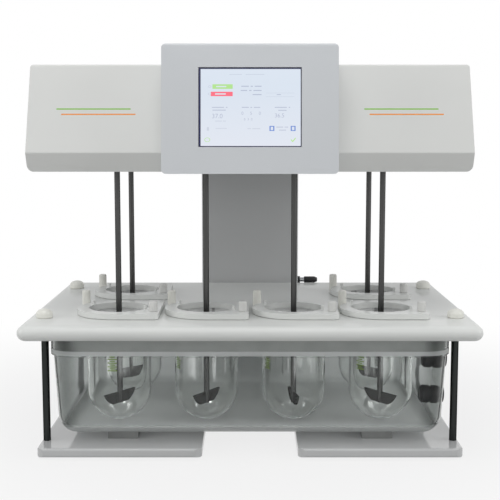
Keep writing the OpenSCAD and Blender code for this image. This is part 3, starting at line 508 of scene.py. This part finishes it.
def flat_mesh(name, faces, material, onto):
    """Mesh of flat polygons, given as lists of (across, up) points and placed by a function."""
    shape = bmesh.new()
    for points in faces:
        shape.faces.new([shape.verts.new(onto(*p)) for p in points])
    mesh = bpy.data.meshes.new(name)
    shape.to_mesh(mesh)
    shape.free()
    mesh.materials.append(material)
    return mesh


def bar(x0, x1, y0, y1):
    """Corners of an upright rectangle."""
    return [(x0, y0), (x1, y0), (x1, y1), (x0, y1)]


def rounded_bar(x0, x1, y0, y1, r, steps=5):
    """Corners of a rectangle with round ends."""
    points = []
    middles = ((x1 - r, y0 + r), (x1 - r, y1 - r), (x0 + r, y1 - r), (x0 + r, y0 + r))
    for quarter, (cx, cy) in enumerate(middles, -1):
        for k in range(steps + 1):
            a = math.radians(90 * quarter + 90 * k / steps)
            points.append((cx + r * math.cos(a), cy + r * math.sin(a)))
    return points


def ring(cx, cy, inner, outer, steps=24):
    """Quads of a flat ring."""
    def at(radius, k):
        a = 2 * math.pi * k / steps
        return cx + radius * math.cos(a), cy + radius * math.sin(a)

    return [[at(inner, k), at(outer, k), at(outer, k + 1), at(inner, k + 1)] for k in range(steps)]


def words(x0, x1, level, thickness, parts, gap=0.12):
    """Bars of one line of text, one for each word of the given share."""
    total, x, made = sum(parts) + gap * (len(parts) - 1), x0, []
    for part in parts:
        end = x + (x1 - x0) * part / total
        made.append(bar(x, end, level - thickness / 2, level + thickness / 2))
        x = end + (x1 - x0) * gap / total
    return made


# Geometry Nodes


class Nodes(Graph):
    """A geometry tree under construction, with named inputs."""

    def __init__(self, name):
        super().__init__(bpy.data.node_groups.new(name, "GeometryNodeTree"))
        self.tree.interface.new_socket("Geometry", in_out="INPUT", socket_type="NodeSocketGeometry")
        self.tree.interface.new_socket("Geometry", in_out="OUTPUT", socket_type="NodeSocketGeometry")
        self.inlet = self.node("NodeGroupInput")
        self.outlet = self.node("NodeGroupOutput")

    def input(self, name, kind):
        """A new named input."""
        self.tree.interface.new_socket(name, in_out="INPUT", socket_type=kind)
        return self.inlet.outputs[name]

    def finish(self, geometry, material):
        """Ends the tree in Realize Instances and Set Material."""
        real = self.feed("GeometryNodeRealizeInstances", {"Geometry": geometry})
        paint = self.feed("GeometryNodeSetMaterial", {"Geometry": real, "Material": material})
        self.join(paint, self.outlet.inputs["Geometry"])
        return self.tree


def grown(tree, mesh, values):
    """Plain mesh that a geometry tree makes from a mesh and named input values."""
    holder = bpy.data.objects.new("holder", mesh)
    modifier = holder.modifiers.new("nodes", "NODES")
    modifier.node_group = tree
    places = {s.name: s.identifier for s in tree.interface.items_tree if s.in_out == "INPUT"}
    for name, value in values.items():
        modifier[places[name]] = value
    bpy.context.scene.collection.objects.link(holder)
    made = evaluated_mesh(holder)
    if not made.polygons:
        raise RuntimeError(f"{tree.name} made no faces")
    return made


def tick_tree():
    """Ladder of curved ticks on a round wall, with a shorter tick after each."""
    nodes = Nodes("graduation ticks")
    radius, width, height, pitch, turn = (
        nodes.input(name, "NodeSocketFloat") for name in ("Radius", "Width", "Height", "Pitch", "Turn")
    )
    count = nodes.input("Count", "NodeSocketInt")
    axis = nodes.input("Axis", "NodeSocketVector")
    paint = nodes.input("Material", "NodeSocketMaterial")

    def ladder(share, first):
        """Ticks with a share of the width, the first of them a share of the pitch up."""
        size = {"Size X": nodes.calc("MULTIPLY", width, share), "Size Y": height}
        grid = nodes.feed("GeometryNodeMeshGrid", {"Vertices X": 9, "Vertices Y": 2, **size})
        here = nodes.node("ShaderNodeSeparateXYZ")
        nodes.join(nodes.node("GeometryNodeInputPosition").outputs["Position"], here.inputs["Vector"])
        angle = nodes.calc("DIVIDE", here.outputs["X"], radius)
        wrapped = nodes.feed("ShaderNodeCombineXYZ", {
            "X": nodes.calc("MULTIPLY", nodes.calc("SINE", angle), radius),
            "Y": nodes.calc("MULTIPLY", nodes.calc("COSINE", angle), radius, -1.0),
            "Z": here.outputs["Y"],
        })
        line = nodes.feed("GeometryNodeMeshLine", {
            "Count": count,
            "Start Location": nodes.feed("ShaderNodeCombineXYZ", {"Z": nodes.calc("MULTIPLY", pitch, first)}),
            "Offset": nodes.feed("ShaderNodeCombineXYZ", {"Z": pitch}),
        })
        bent = nodes.feed("GeometryNodeSetPosition", {"Geometry": grid, "Position": wrapped})
        return nodes.feed("GeometryNodeInstanceOnPoints", {"Points": line, "Instance": bent})

    both = nodes.node("GeometryNodeJoinGeometry")
    nodes.join(ladder(1.0, 0.0), both.inputs["Geometry"])
    nodes.join(ladder(0.55, 0.5), both.inputs["Geometry"])
    real = nodes.feed("GeometryNodeRealizeInstances", {"Geometry": both.outputs["Geometry"]})
    spin = nodes.feed("ShaderNodeCombineXYZ", {"Z": turn})
    placed = nodes.feed("GeometryNodeTransform", {"Geometry": real, "Translation": axis, "Rotation": spin})
    return nodes.finish(placed, paint)


def scatter_tree(name, form_name):
    """One form repeated on points, standing along each point's own outward direction."""
    nodes = Nodes(name)
    form = nodes.input(form_name, "NodeSocketObject")
    paint = nodes.input("Material", "NodeSocketMaterial")
    info = nodes.node("GeometryNodeObjectInfo", transform_space="ORIGINAL")
    nodes.join(form, info.inputs["Object"])
    outward = nodes.feed("GeometryNodeInputNamedAttribute", {"Name": "outward"}, data_type="FLOAT_VECTOR")
    spread = nodes.feed("GeometryNodeInstanceOnPoints", {
        "Points": nodes.feed("GeometryNodeMeshToPoints", {"Mesh": nodes.inlet.outputs["Geometry"]}),
        "Instance": info.outputs["Geometry"],
        "Rotation": nodes.feed("FunctionNodeAlignRotationToVector", {"Vector": outward}, axis="Z"),
    })
    return nodes.finish(spread, paint)


def screw_form(radius, height):
    """Socket-head panel screw standing on its origin."""
    steps = 18
    shape = bmesh.new()

    def loop(reach, z, sides=0):
        """Ring of corners at a height."""
        made = []
        for k in range(steps):
            a = 2 * math.pi * k / steps
            r = reach
            if sides:
                part = 2 * math.pi / sides
                r = reach * math.cos(part / 2) / math.cos((a % part) - part / 2)
            made.append(shape.verts.new((r * math.cos(a), r * math.sin(a), z)))
        return made

    # Shares of the radius and the height, and the sides of the socket
    head = ((1.0, 0.0, 0), (1.0, 0.62, 0), (0.93, 0.88, 0), (0.78, 1.0, 0))
    socket = ((0.50, 1.0, 6), (0.46, 0.35, 6))
    loops = [loop(reach * radius, level * height, sides) for reach, level, sides in head + socket]
    for low, high in zip(loops, loops[1:]):
        for k in range(steps):
            j = (k + 1) % steps
            shape.faces.new((low[k], low[j], high[j], high[k]))
    shape.faces.new(loops[-1])
    shape.faces.new(list(reversed(loops[0])))
    mesh = bpy.data.meshes.new("screw_form")
    shape.to_mesh(mesh)
    shape.free()
    return bpy.data.objects.new("screw_form", mesh)


def point_mesh(places):
    """Mesh of loose points from (place, outward direction) pairs."""
    mesh = bpy.data.meshes.new("places")
    mesh.from_pydata([p for p, _ in places], [], [])
    outward = mesh.attributes.new("outward", "FLOAT_VECTOR", "POINT")
    outward.data.foreach_set("vector", [c for _, d in places for c in d])
    return mesh


# Pieces


class TESTER_OT_covers(bpy.types.Operator):
    """Painted sheet-metal covers of the head, the display box and the column"""

    bl_idname = "tester.dress_covers"
    bl_label = "Covers"

    def execute(self, context):
        sizes, colours = settings(context)
        # The column's colour is painted shade in part: darker than the head's paint, for the head's shade
        column = powder_coat("column_powder_coat", colours.column)
        dress("head_cover", powder_coat("head_powder_coat", colours.cover), sizes.sheet_edge)
        dress("display_housing", powder_coat("display_powder_coat", colours.box), sizes.sheet_edge)
        dress("column_cover", column, sizes.sheet_edge)
        dress("column_back_panel", column, sizes.small_edge)
        return {"FINISHED"}


class TESTER_OT_resin(bpy.types.Operator):
    """Polished resin plate, base, collars, pegs and knobs"""

    bl_idname = "tester.dress_resin"
    bl_label = "Plate, collars and base"

    def execute(self, context):
        sizes, colours = settings(context)
        white = polished_resin("white_polished_resin", colours.resin)
        # The knobs' colour is painted shade in part: greyer than the nylon, for the head's shade
        knob = polished_resin("white_turned_knob", colours.knob, shine=0.5)
        nylon = polished_resin("cream_turned_nylon", colours.nylon, shine=0.5)
        base = polished_resin("base_polished_resin", colours.base, shine=1.0)
        dress("vessel_plate", white, sizes.resin_edge)
        dress("base_frame", base, sizes.small_edge)
        dress("post_knobs", nylon, sizes.small_edge)
        dress("locating_pegs", nylon, sizes.small_edge)
        for k in STATIONS:
            dress(f"collar_{k}", white, sizes.resin_edge)
            dress(f"collar_knob_{k}", knob, sizes.small_edge)
        return {"FINISHED"}


class TESTER_OT_glass(bpy.types.Operator):
    """Glass vessels and the clear tub, which let the lamps shine through"""

    bl_idname = "tester.dress_glass"
    bl_label = "Vessels and tub"

    def execute(self, context):
        sizes, colours = settings(context)
        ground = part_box("vessel_plate")[0].z + sizes.ground_rise
        low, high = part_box("vessel_1")
        foot = low.z + (high.x - low.x) / 2
        glass = vessel_glass("vessel_glass_wall", colours.vessel, low.z, foot, ground)

        low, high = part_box("bath_tub")
        underside = low.z + 0.002
        front = min(p.y for p in corners("bath_tub") if p.z < underside)
        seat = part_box("bath_frame")[0].z
        # Band of the painted highlight at the ledge
        ledge = (seat - sizes.ledge_height, seat)
        tub = hazy_tub("tub_clear_wall", colours.tub, colours.smoke, colours.haze, low, high, ledge, front)

        dress("bath_tub", tub, crease=50.0).visible_shadow = False
        for k in STATIONS:
            dress(f"vessel_{k}", glass, sizes.rim_edge, crease=40.0).visible_shadow = False
        return {"FINISHED"}


class TESTER_OT_steel(bpy.types.Operator):
    """Drawn steel posts, shafts and paddles"""

    bl_idname = "tester.dress_steel"
    bl_label = "Posts and stirrers"

    def execute(self, context):
        sizes, colours = settings(context)
        shaft = drawn_steel("dark_drawn_steel", colours.shaft, 0.26, 0.42)
        dress("support_posts", drawn_steel("black_drawn_steel", colours.post, 0.3, 0.46), sizes.small_edge)
        for k in STATIONS:
            dress(f"stirrer_{k}", shaft, sizes.small_edge)
        return {"FINISHED"}


class TESTER_OT_mouldings(bpy.types.Operator):
    """Black and grey mouldings: bath frame, nozzles, plug, inlet, switch, feet and pads"""

    bl_idname = "tester.dress_mouldings"
    bl_label = "Mouldings"

    def execute(self, context):
        sizes, colours = settings(context)
        black = moulding("black_moulding", colours.black, 0.38, 0.5)
        rubber = moulding("black_rubber_skin", colours.rubber, 0.62, 0.78, grain=700.0)
        # The frame's grey is painted shade in part, for the shade under the plate
        dress("bath_frame", moulding("frame_grey_moulding", colours.frame, 0.3, 0.42), sizes.resin_edge)
        for node in ("bath_fittings", "power_inlet", "power_switch"):
            dress(node, black, sizes.small_edge)
        dress("rubber_feet", rubber, sizes.small_edge)
        # The pads' grey is painted shade, matching the shadow under the tub
        dress("bath_pads", moulding("tub_pad_plastic", colours.pad, 0.4, 0.55), sizes.small_edge)
        plug = dress("sensor_plug", black, sizes.small_edge)
        across = (9.0, 600.0, 600.0)
        plug.data.materials.append(drawn_steel("plug_ring_steel", colours.screw, 0.2, 0.32, across))
        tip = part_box("sensor_plug")[1].x
        for face in plug.data.polygons:
            if tip - sizes.ring_near < face.center.x < tip - sizes.ring_far:
                face.material_index = 1
        repaint(rubber, "drive_belt")
        repaint(black, "drive_motor", "display_module")
        return {"FINISHED"}


class TESTER_OT_works(bpy.types.Operator):
    """Tray, spindles, mast and lift inside the head and the column"""

    bl_idname = "tester.dress_works"
    bl_label = "Works"

    def execute(self, context):
        _, colours = settings(context)
        across = (9.0, 500.0, 500.0)
        upright = drawn_steel("drawn_alloy", colours.alloy, 0.22, 0.36)
        repaint(drawn_steel("brushed_alloy", colours.alloy, 0.28, 0.42, across), "head_tray")
        repaint(upright, "mast", "actuator_rod", "spindle_bearings", "drive_pulley", "idler_roller")
        repaint(upright, *(f"pulley_{k}" for k in STATIONS))
        repaint(drawn_steel("dark_barrel_steel", colours.shaft, 0.3, 0.45), "lift_actuator")
        repaint(moulding("board_lacquer", colours.board, 0.25, 0.4, grain=300.0), "control_board")
        repaint(moulding("slide_pad_plastic", colours.resin, 0.35, 0.5), "slide_pads")
        return {"FINISHED"}


# Layers of the screen, from the glass outwards
ON_GLASS, ON_PAGE, ON_KEY = 1, 2, 3
# Lines of the page as (left, right, level, thickness, shares of the words), in shares of the glass
TEXT_LINES = (
    (0.415, 0.612, 0.237, 0.012, (0.5, 0.15, 0.45)),
    (0.410, 0.612, 0.290, 0.012, (0.4, 0.15, 0.5)),
    (0.525, 0.612, 0.342, 0.012, (1,)),
    (0.760, 0.800, 0.342, 0.010, (1,)),
    (0.130, 0.280, 0.503, 0.010, (0.8, 0.1)),
    (0.135, 0.265, 0.538, 0.010, (1,)),
    (0.420, 0.598, 0.503, 0.010, (0.5, 0.12, 0.45)),
    (0.740, 0.890, 0.503, 0.010, (0.8, 0.1)),
    (0.775, 0.855, 0.540, 0.010, (1,)),
    (0.755, 0.870, 0.752, 0.009, (0.6, 0.3)),
    (0.782, 0.850, 0.790, 0.009, (1,)),
)
FAINT_LINES = (
    (0.655, 0.930, 0.322, 0.004, (1,)),
    (0.655, 0.930, 0.368, 0.004, (1,)),
    (0.160, 0.265, 0.676, 0.010, (0.7, 0.3)),
    (0.165, 0.275, 0.768, 0.008, (1,)),
    (0.475, 0.600, 0.772, 0.010, (0.3, 0.7)),
    (0.300, 0.640, 0.088, 0.008, (0.4, 0.6)),
)
# Readings as (figures, left, foot, height), in shares of the glass
READINGS = (
    ("37.0", 0.128, 0.640, 0.058),
    ("0", 0.415, 0.596, 0.040),
    ("5", 0.500, 0.596, 0.040),
    ("0", 0.585, 0.596, 0.040),
    ("0  3  0", 0.440, 0.668, 0.030),
    ("36.5", 0.738, 0.630, 0.052),
)
# Size of the font at which a figure is about one unit high
FIGURE_SIZE = 1.4


class TESTER_OT_screen(bpy.types.Operator):
    """Dark screen glass with a lit page of keys, lines and readings"""

    bl_idname = "tester.dress_screen"
    bl_label = "Screen"

    def execute(self, context):
        sizes, colours = settings(context)
        tilt = sizes.screen_tilt
        low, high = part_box("display_glass")
        up = Vector((0, math.sin(tilt), math.cos(tilt)))
        out = Vector((0, -math.cos(tilt), math.sin(tilt)))
        wide, deep, rise = high.x - low.x, high.y - low.y, high.z - low.z
        thick = (deep - rise * math.tan(tilt)) / (math.cos(tilt) - math.sin(tilt) * math.tan(tilt))
        tall = (rise - thick * math.sin(tilt)) / math.cos(tilt)
        corner = (low + high) / 2 + out * thick / 2 - Vector((wide / 2, 0, 0)) + up * tall / 2

        def onto(layer):
            """Places a point given as shares of the glass, from its upper left corner."""
            lift = out * (sizes.layer * layer)
            return lambda u, v: corner + Vector((u * wide, 0, 0)) - up * (v * tall) + lift

        def lit(name, colour):
            """Finish of a layer that spans the glass."""
            return lit_layer(name, colour, low.z, high.z)

        def put(name, faces, material, layer):
            """Adds a piece of flat faces on a layer, with the faces turned outwards."""
            faces = [list(reversed(points)) for points in faces]
            add_piece(name, flat_mesh(name, faces, material, onto(layer)), "head")

        page, text = lit("lit_page", colours.page), lit("lit_text", colours.text)
        faint = lit("lit_rule", [0.35 * t + 0.6 * p for t, p in zip(colours.text, colours.page)])
        green, red = lit("lit_green_key", colours.go), lit("lit_red_key", colours.halt)
        blue = lit("lit_blue_key", colours.blue)
        dress("display_glass", moulding("dark_screen_glass", colours.bezel, 0.1, 0.16), sizes.small_edge)

        right, foot = 1 - sizes.page_thin / wide, 1 - sizes.page_thin / tall
        put("screen_page", [bar(sizes.page_side / wide, right, sizes.page_top / tall, foot)], page, ON_GLASS)
        put("start_key", [rounded_bar(0.135, 0.332, 0.212, 0.270, 0.006)], green, ON_PAGE)
        put("stop_key", [rounded_bar(0.118, 0.332, 0.306, 0.362, 0.006)], red, ON_PAGE)
        marks = [rounded_bar(0.17, 0.27, 0.233, 0.249, 0.004), rounded_bar(0.16, 0.265, 0.326, 0.342, 0.004)]
        put("key_marks", marks, page, ON_KEY)
        rings = ring(0.108, 0.241, 0.010, 0.016) + ring(0.108, 0.334, 0.010, 0.016)
        put("key_rings", rings, faint, ON_PAGE)

        put("text_lines", [dash for line in TEXT_LINES for dash in words(*line)], text, ON_PAGE)
        rules = [dash for line in FAINT_LINES for dash in words(*line)]
        rules.append(rounded_bar(0.080, 0.102, 0.752, 0.798, 0.008))
        put("faint_lines", rules, faint, ON_PAGE)

        frames = []
        for u in (0.713, 0.919):
            frames += [bar(u - 0.024, u + 0.024, v, v + 0.011) for v in (0.737, 0.790)]
            frames += [bar(u + inset, u + inset + 0.012, 0.748, 0.790) for inset in (-0.024, 0.012)]
        put("square_keys", frames, blue, ON_PAGE)
        tick = [[(0.895, 0.915), (0.902, 0.905), (0.915, 0.925), (0.915, 0.943)],
                [(0.915, 0.943), (0.915, 0.925), (0.940, 0.885), (0.947, 0.893)]]
        put("page_marks", ring(0.085, 0.912, 0.022, 0.028) + tick, green, ON_PAGE)

        for number, (figures, u, v, height) in enumerate(READINGS, 1):
            mesh = self.reading(figures, u, v, height, tall / wide, onto(ON_PAGE), text)
            add_piece(f"reading_{number}", mesh, "head")
        return {"FINISHED"}

    def reading(self, figures, u, v, height, ratio, place, material):
        """Flat mesh of plain figures that start at u and stand on v, both in shares of the glass."""
        curve = bpy.data.curves.new("figures", "FONT")
        curve.body = figures
        curve.size = FIGURE_SIZE
        holder = bpy.data.objects.new("figures", curve)
        bpy.context.scene.collection.objects.link(holder)
        mesh = evaluated_mesh(holder)
        for vertex in mesh.vertices:
            vertex.co = place(u + vertex.co.x * height * ratio, v - vertex.co.y * height)
        mesh.materials.clear()
        mesh.materials.append(material)
        mesh.update()
        return mesh


# Turn of each vessel's ladder of graduations from the front, in degrees
LADDER_TURNS = (-6, -60, -57, -46, 15, -35)


class TESTER_OT_graduations(bpy.types.Operator):
    """Printed graduation ticks on each vessel"""

    bl_idname = "tester.dress_graduations"
    bl_label = "Graduations"

    def execute(self, context):
        sizes, colours = settings(context)
        paint = ink("green_print_ink", colours.print_green)
        tree = tick_tree()
        flange = 0.01
        for k, turn in zip(STATIONS, LADDER_TURNS):
            low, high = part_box(f"vessel_{k}")
            middle = (low + high) / 2
            wall = max(p.x for p in corners(f"vessel_{k}") if p.z < high.z - flange) - middle.x
            mesh = grown(tree, bpy.data.meshes.new("ticks"), {
                "Radius": wall + sizes.layer,
                "Width": sizes.tick_width,
                "Height": sizes.tick_height,
                "Pitch": sizes.tick_pitch,
                "Count": sizes.tick_count,
                "Axis": (middle.x, middle.y, sizes.tick_level),
                "Turn": math.radians(turn),
                "Material": paint,
            })
            add_piece(f"graduations_{k}", mesh, f"glass_{k}")
        return {"FINISHED"}


class TESTER_OT_lines(bpy.types.Operator):
    """Plain coloured lines on the head's two wings"""

    bl_idname = "tester.dress_lines"
    bl_label = "Wing lines"

    def execute(self, context):
        sizes, colours = settings(context)
        slope = Vector((0.0, -0.93, 0.37))
        foot, out = widest_face("head_cover", slope)
        up = Vector((0, out.z, -out.y))
        start = Vector((0, foot.y, foot.z)) + out * sizes.layer
        inner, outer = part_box("display_housing")[1].x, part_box("head_cover")[1].x
        centre = inner + (outer - inner) / 2
        half, r = sizes.stripe_length / 2, sizes.stripe_width / 2

        # Level above the foot of the slope, and shift to the right
        lines = (("green", colours.leaf, 0.072, -0.004), ("orange", colours.amber, 0.063, 0.004))
        for name, colour, level, shift in lines:
            faces = []
            for side in SIDES:
                x = side * centre + shift
                faces.append(rounded_bar(x - half, x + half, level - r, level + r, 0.98 * r))
            paint = ink(f"{name}_line_ink", colour)
            mesh = flat_mesh(f"{name}_lines", faces, paint, lambda x, z: start + Vector((x, 0, 0)) + up * z)
            add_piece(f"{name}_lines", mesh, "head")
        return {"FINISHED"}


class TESTER_OT_screws(bpy.types.Operator):
    """Socket-head screws of the rear panels and the column's foot"""

    bl_idname = "tester.dress_screws"
    bl_label = "Panel screws"

    def execute(self, context):
        sizes, colours = settings(context)
        steel = drawn_steel("screw_steel", colours.screw, 0.2, 0.34, (300.0, 300.0, 300.0))
        form = screw_form(sizes.screw_radius, sizes.screw_height)
        tree = scatter_tree("panel screws", "Screw")
        for body, places in (("stand", self.stand_places()), ("head", self.head_places())):
            mesh = grown(tree, point_mesh(places), {"Screw": form, "Material": steel})
            add_piece(f"{body}_screws", mesh, body)
        mesh = form.data
        bpy.data.objects.remove(form)
        bpy.data.meshes.remove(mesh)
        return {"FINISHED"}

    def stand_places(self):
        """Rows beside the column's back panel, and four screws in the column's foot."""
        behind, above = (0.0, 1.0, 0.0), (0.0, 0.0, 1.0)
        low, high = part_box("column_back_panel")
        x, rise = high.x - 0.009, high.z - low.z
        places = [((side * x, high.y, low.z + rise * share), behind)
                  for side in SIDES for share in (0.04, 0.24, 0.43, 0.62, 0.81, 0.97)]
        low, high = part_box("column_cover")
        x, flange_top = high.x - 0.007, low.z + 0.003
        places += [((side * x, y, flange_top), above)
                   for side in SIDES for y in (low.y + 0.012, high.y - 0.02)]
        return places

    def head_places(self):
        """Four screws in the back of each wing, and four in the back of the neck."""
        behind = (0.0, 1.0, 0.0)
        low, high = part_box("head_cover")
        neck, wing = 0.098, 0.14
        wing_back = max(p.y for p in corners("head_cover") if abs(p.x) > 0.2)
        places = [((side * x, wing_back, low.z + z), behind)
                  for side in SIDES for x in (wing, high.x - 0.022) for z in (0.018, 0.145)]
        places += [((side * neck, high.y, low.z + z), behind) for side in SIDES for z in (0.018, 0.092)]
        return places


# Lamps as (name, place, size, watts), all turned to one point
LAMPS = (
    ("key_lamp", (-0.2, -1.1, 2.8), (1.6, 1.6), 22.0),
    ("front_lamp", (-0.3, -2.7, 1.9), (2.4, 1.0), 10.0),
    ("top_lamp", (0.0, 0.5, 2.7), (2.2, 2.2), 6.0),
    ("left_lamp", (-1.8, -0.7, 0.9), (0.9, 0.9), 8.0),
    ("right_lamp", (1.8, -0.7, 0.9), (0.9, 0.9), 9.0),
)
LAMP_TARGET = Vector((0, 0, 0.33))
# Camera's place, dip in degrees, and lens and sensor in millimetres
CAMERA_PLACE, CAMERA_DIP = (0.0, -1.8833, 0.523), 6.517
CAMERA_LENS, CAMERA_SENSOR = 74.17, 36.0
WHITE = (1.0, 1.0, 1.0, 1.0)


class TESTER_OT_stage(bpy.types.Operator):
    """Pale floor, white surroundings, soft lamps and the camera"""

    bl_idname = "tester.set_stage"
    bl_label = "Stage"

    def execute(self, context):
        scene = context.scene
        scene.view_settings.view_transform = "Standard"
        # Enough bounces to see through the walls of several vessels
        scene.cycles.max_bounces = 24
        scene.cycles.transmission_bounces = 24
        scene.cycles.diffuse_bounces = 6
        scene.cycles.glossy_bounces = 8
        self.floor(scene)
        self.surroundings(scene)
        for lamp in LAMPS:
            self.lamp(scene, *lamp)
        camera = bpy.data.cameras.new("camera")
        camera.sensor_width = CAMERA_SENSOR
        camera.lens = CAMERA_LENS
        viewer = bpy.data.objects.new("camera", camera)
        viewer.location = CAMERA_PLACE
        viewer.rotation_euler = (math.radians(90 - CAMERA_DIP), 0.0, 0.0)
        scene.collection.objects.link(viewer)
        scene.camera = viewer
        return {"FINISHED"}

    def seen(self, graph):
        """1 for rays that show the surroundings: straight, mirrored or through glass."""
        path = graph.node("ShaderNodeLightPath").outputs
        kinds = ("Is Camera Ray", "Is Glossy Ray", "Is Transmission Ray")
        return graph.calc("MAXIMUM", *(path[kind] for kind in kinds))

    def floor(self, scene):
        """Wide round floor that turns pure white away from the tester."""
        shape = bmesh.new()
        bmesh.ops.create_circle(shape, cap_ends=True, radius=14.0, segments=96)
        mesh = bpy.data.meshes.new("floor")
        shape.to_mesh(mesh)
        shape.free()
        floor = bpy.data.objects.new("floor", mesh)
        scene.collection.objects.link(floor)
        finish = Finish("pale_floor")
        finish.set(Base_Color=(0.55, 0.55, 0.55, 1.0), Roughness=0.8, Specular_IOR_Level=0.1)
        glow = finish.feed("ShaderNodeEmission", {"Color": WHITE})
        far = finish.node("ShaderNodeVectorMath", operation="LENGTH")
        finish.join(finish.place(), far.inputs[0])
        fade = finish.span(far.outputs["Value"], 0.3, 1.15, 0.8, 1.0, "SMOOTHSTEP")
        fade = finish.calc("MULTIPLY", fade, self.seen(finish))
        mix = finish.mixed(fade, finish.shader.outputs["BSDF"], glow)
        finish.join(mix, finish.tree.nodes["Material Output"].inputs["Surface"])
        mesh.materials.append(finish.material)

    def surroundings(self, scene):
        """White where it is seen, and a plain soft light otherwise."""
        world = bpy.data.worlds.new("surroundings")
        world.use_nodes = True
        scene.world = world
        graph = Graph(world.node_tree)
        soft = graph.tree.nodes["Background"]
        soft.inputs["Color"].default_value = (0.97, 0.985, 1.0, 1.0)
        soft.inputs["Strength"].default_value = 0.4
        white = graph.feed("ShaderNodeBackground", {"Color": WHITE, "Strength": 1.0})
        mix = graph.mixed(self.seen(graph), soft.outputs["Background"], white)
        graph.join(mix, graph.tree.nodes["World Output"].inputs["Surface"])

    def lamp(self, scene, name, place, size, power):
        """Soft lamp that faces the middle of the tester."""
        light = bpy.data.lights.new(name, "AREA")
        light.energy = power
        light.shape = "RECTANGLE"
        light.size, light.size_y = size
        lamp = bpy.data.objects.new(name, light)
        lamp.location = place
        lamp.rotation_euler = (LAMP_TARGET - Vector(place)).to_track_quat("-Z", "Y").to_euler()
        lamp.visible_camera = False
        scene.collection.objects.link(lamp)


OPERATORS = (
    TESTER_OT_stage,
    TESTER_OT_covers,
    TESTER_OT_resin,
    TESTER_OT_glass,
    TESTER_OT_steel,
    TESTER_OT_mouldings,
    TESTER_OT_works,
    TESTER_OT_screen,
    TESTER_OT_graduations,
    TESTER_OT_lines,
    TESTER_OT_screws,
)


class TESTER_PT_dressing(bpy.types.Panel):
    """Steps and settings of the dressing"""

    bl_idname = "TESTER_PT_dressing"
    bl_label = "Dissolution tester"
    bl_space_type = "VIEW_3D"
    bl_region_type = "UI"
    bl_category = "Tester"

    def draw(self, context):
        for operator in OPERATORS:
            self.layout.operator(operator.bl_idname)
        for group in (context.scene.tester_sizes, context.scene.tester_colours):
            for name in group.__annotations__:
                self.layout.prop(group, name)


CLASSES = (TesterSizes, TesterColours, *OPERATORS, TESTER_PT_dressing)


def register():
    for item in CLASSES:
        bpy.utils.register_class(item)
    bpy.types.Scene.tester_sizes = bpy.props.PointerProperty(type=TesterSizes)
    bpy.types.Scene.tester_colours = bpy.props.PointerProperty(type=TesterColours)


def unregister():
    del bpy.types.Scene.tester_colours
    del bpy.types.Scene.tester_sizes
    for item in reversed(CLASSES):
        bpy.utils.unregister_class(item)


def main():
    register()
    for operator in OPERATORS:
        family, step = operator.bl_idname.split(".")
        getattr(getattr(bpy.ops, family), step)()


if __name__ == "__main__":
    main()
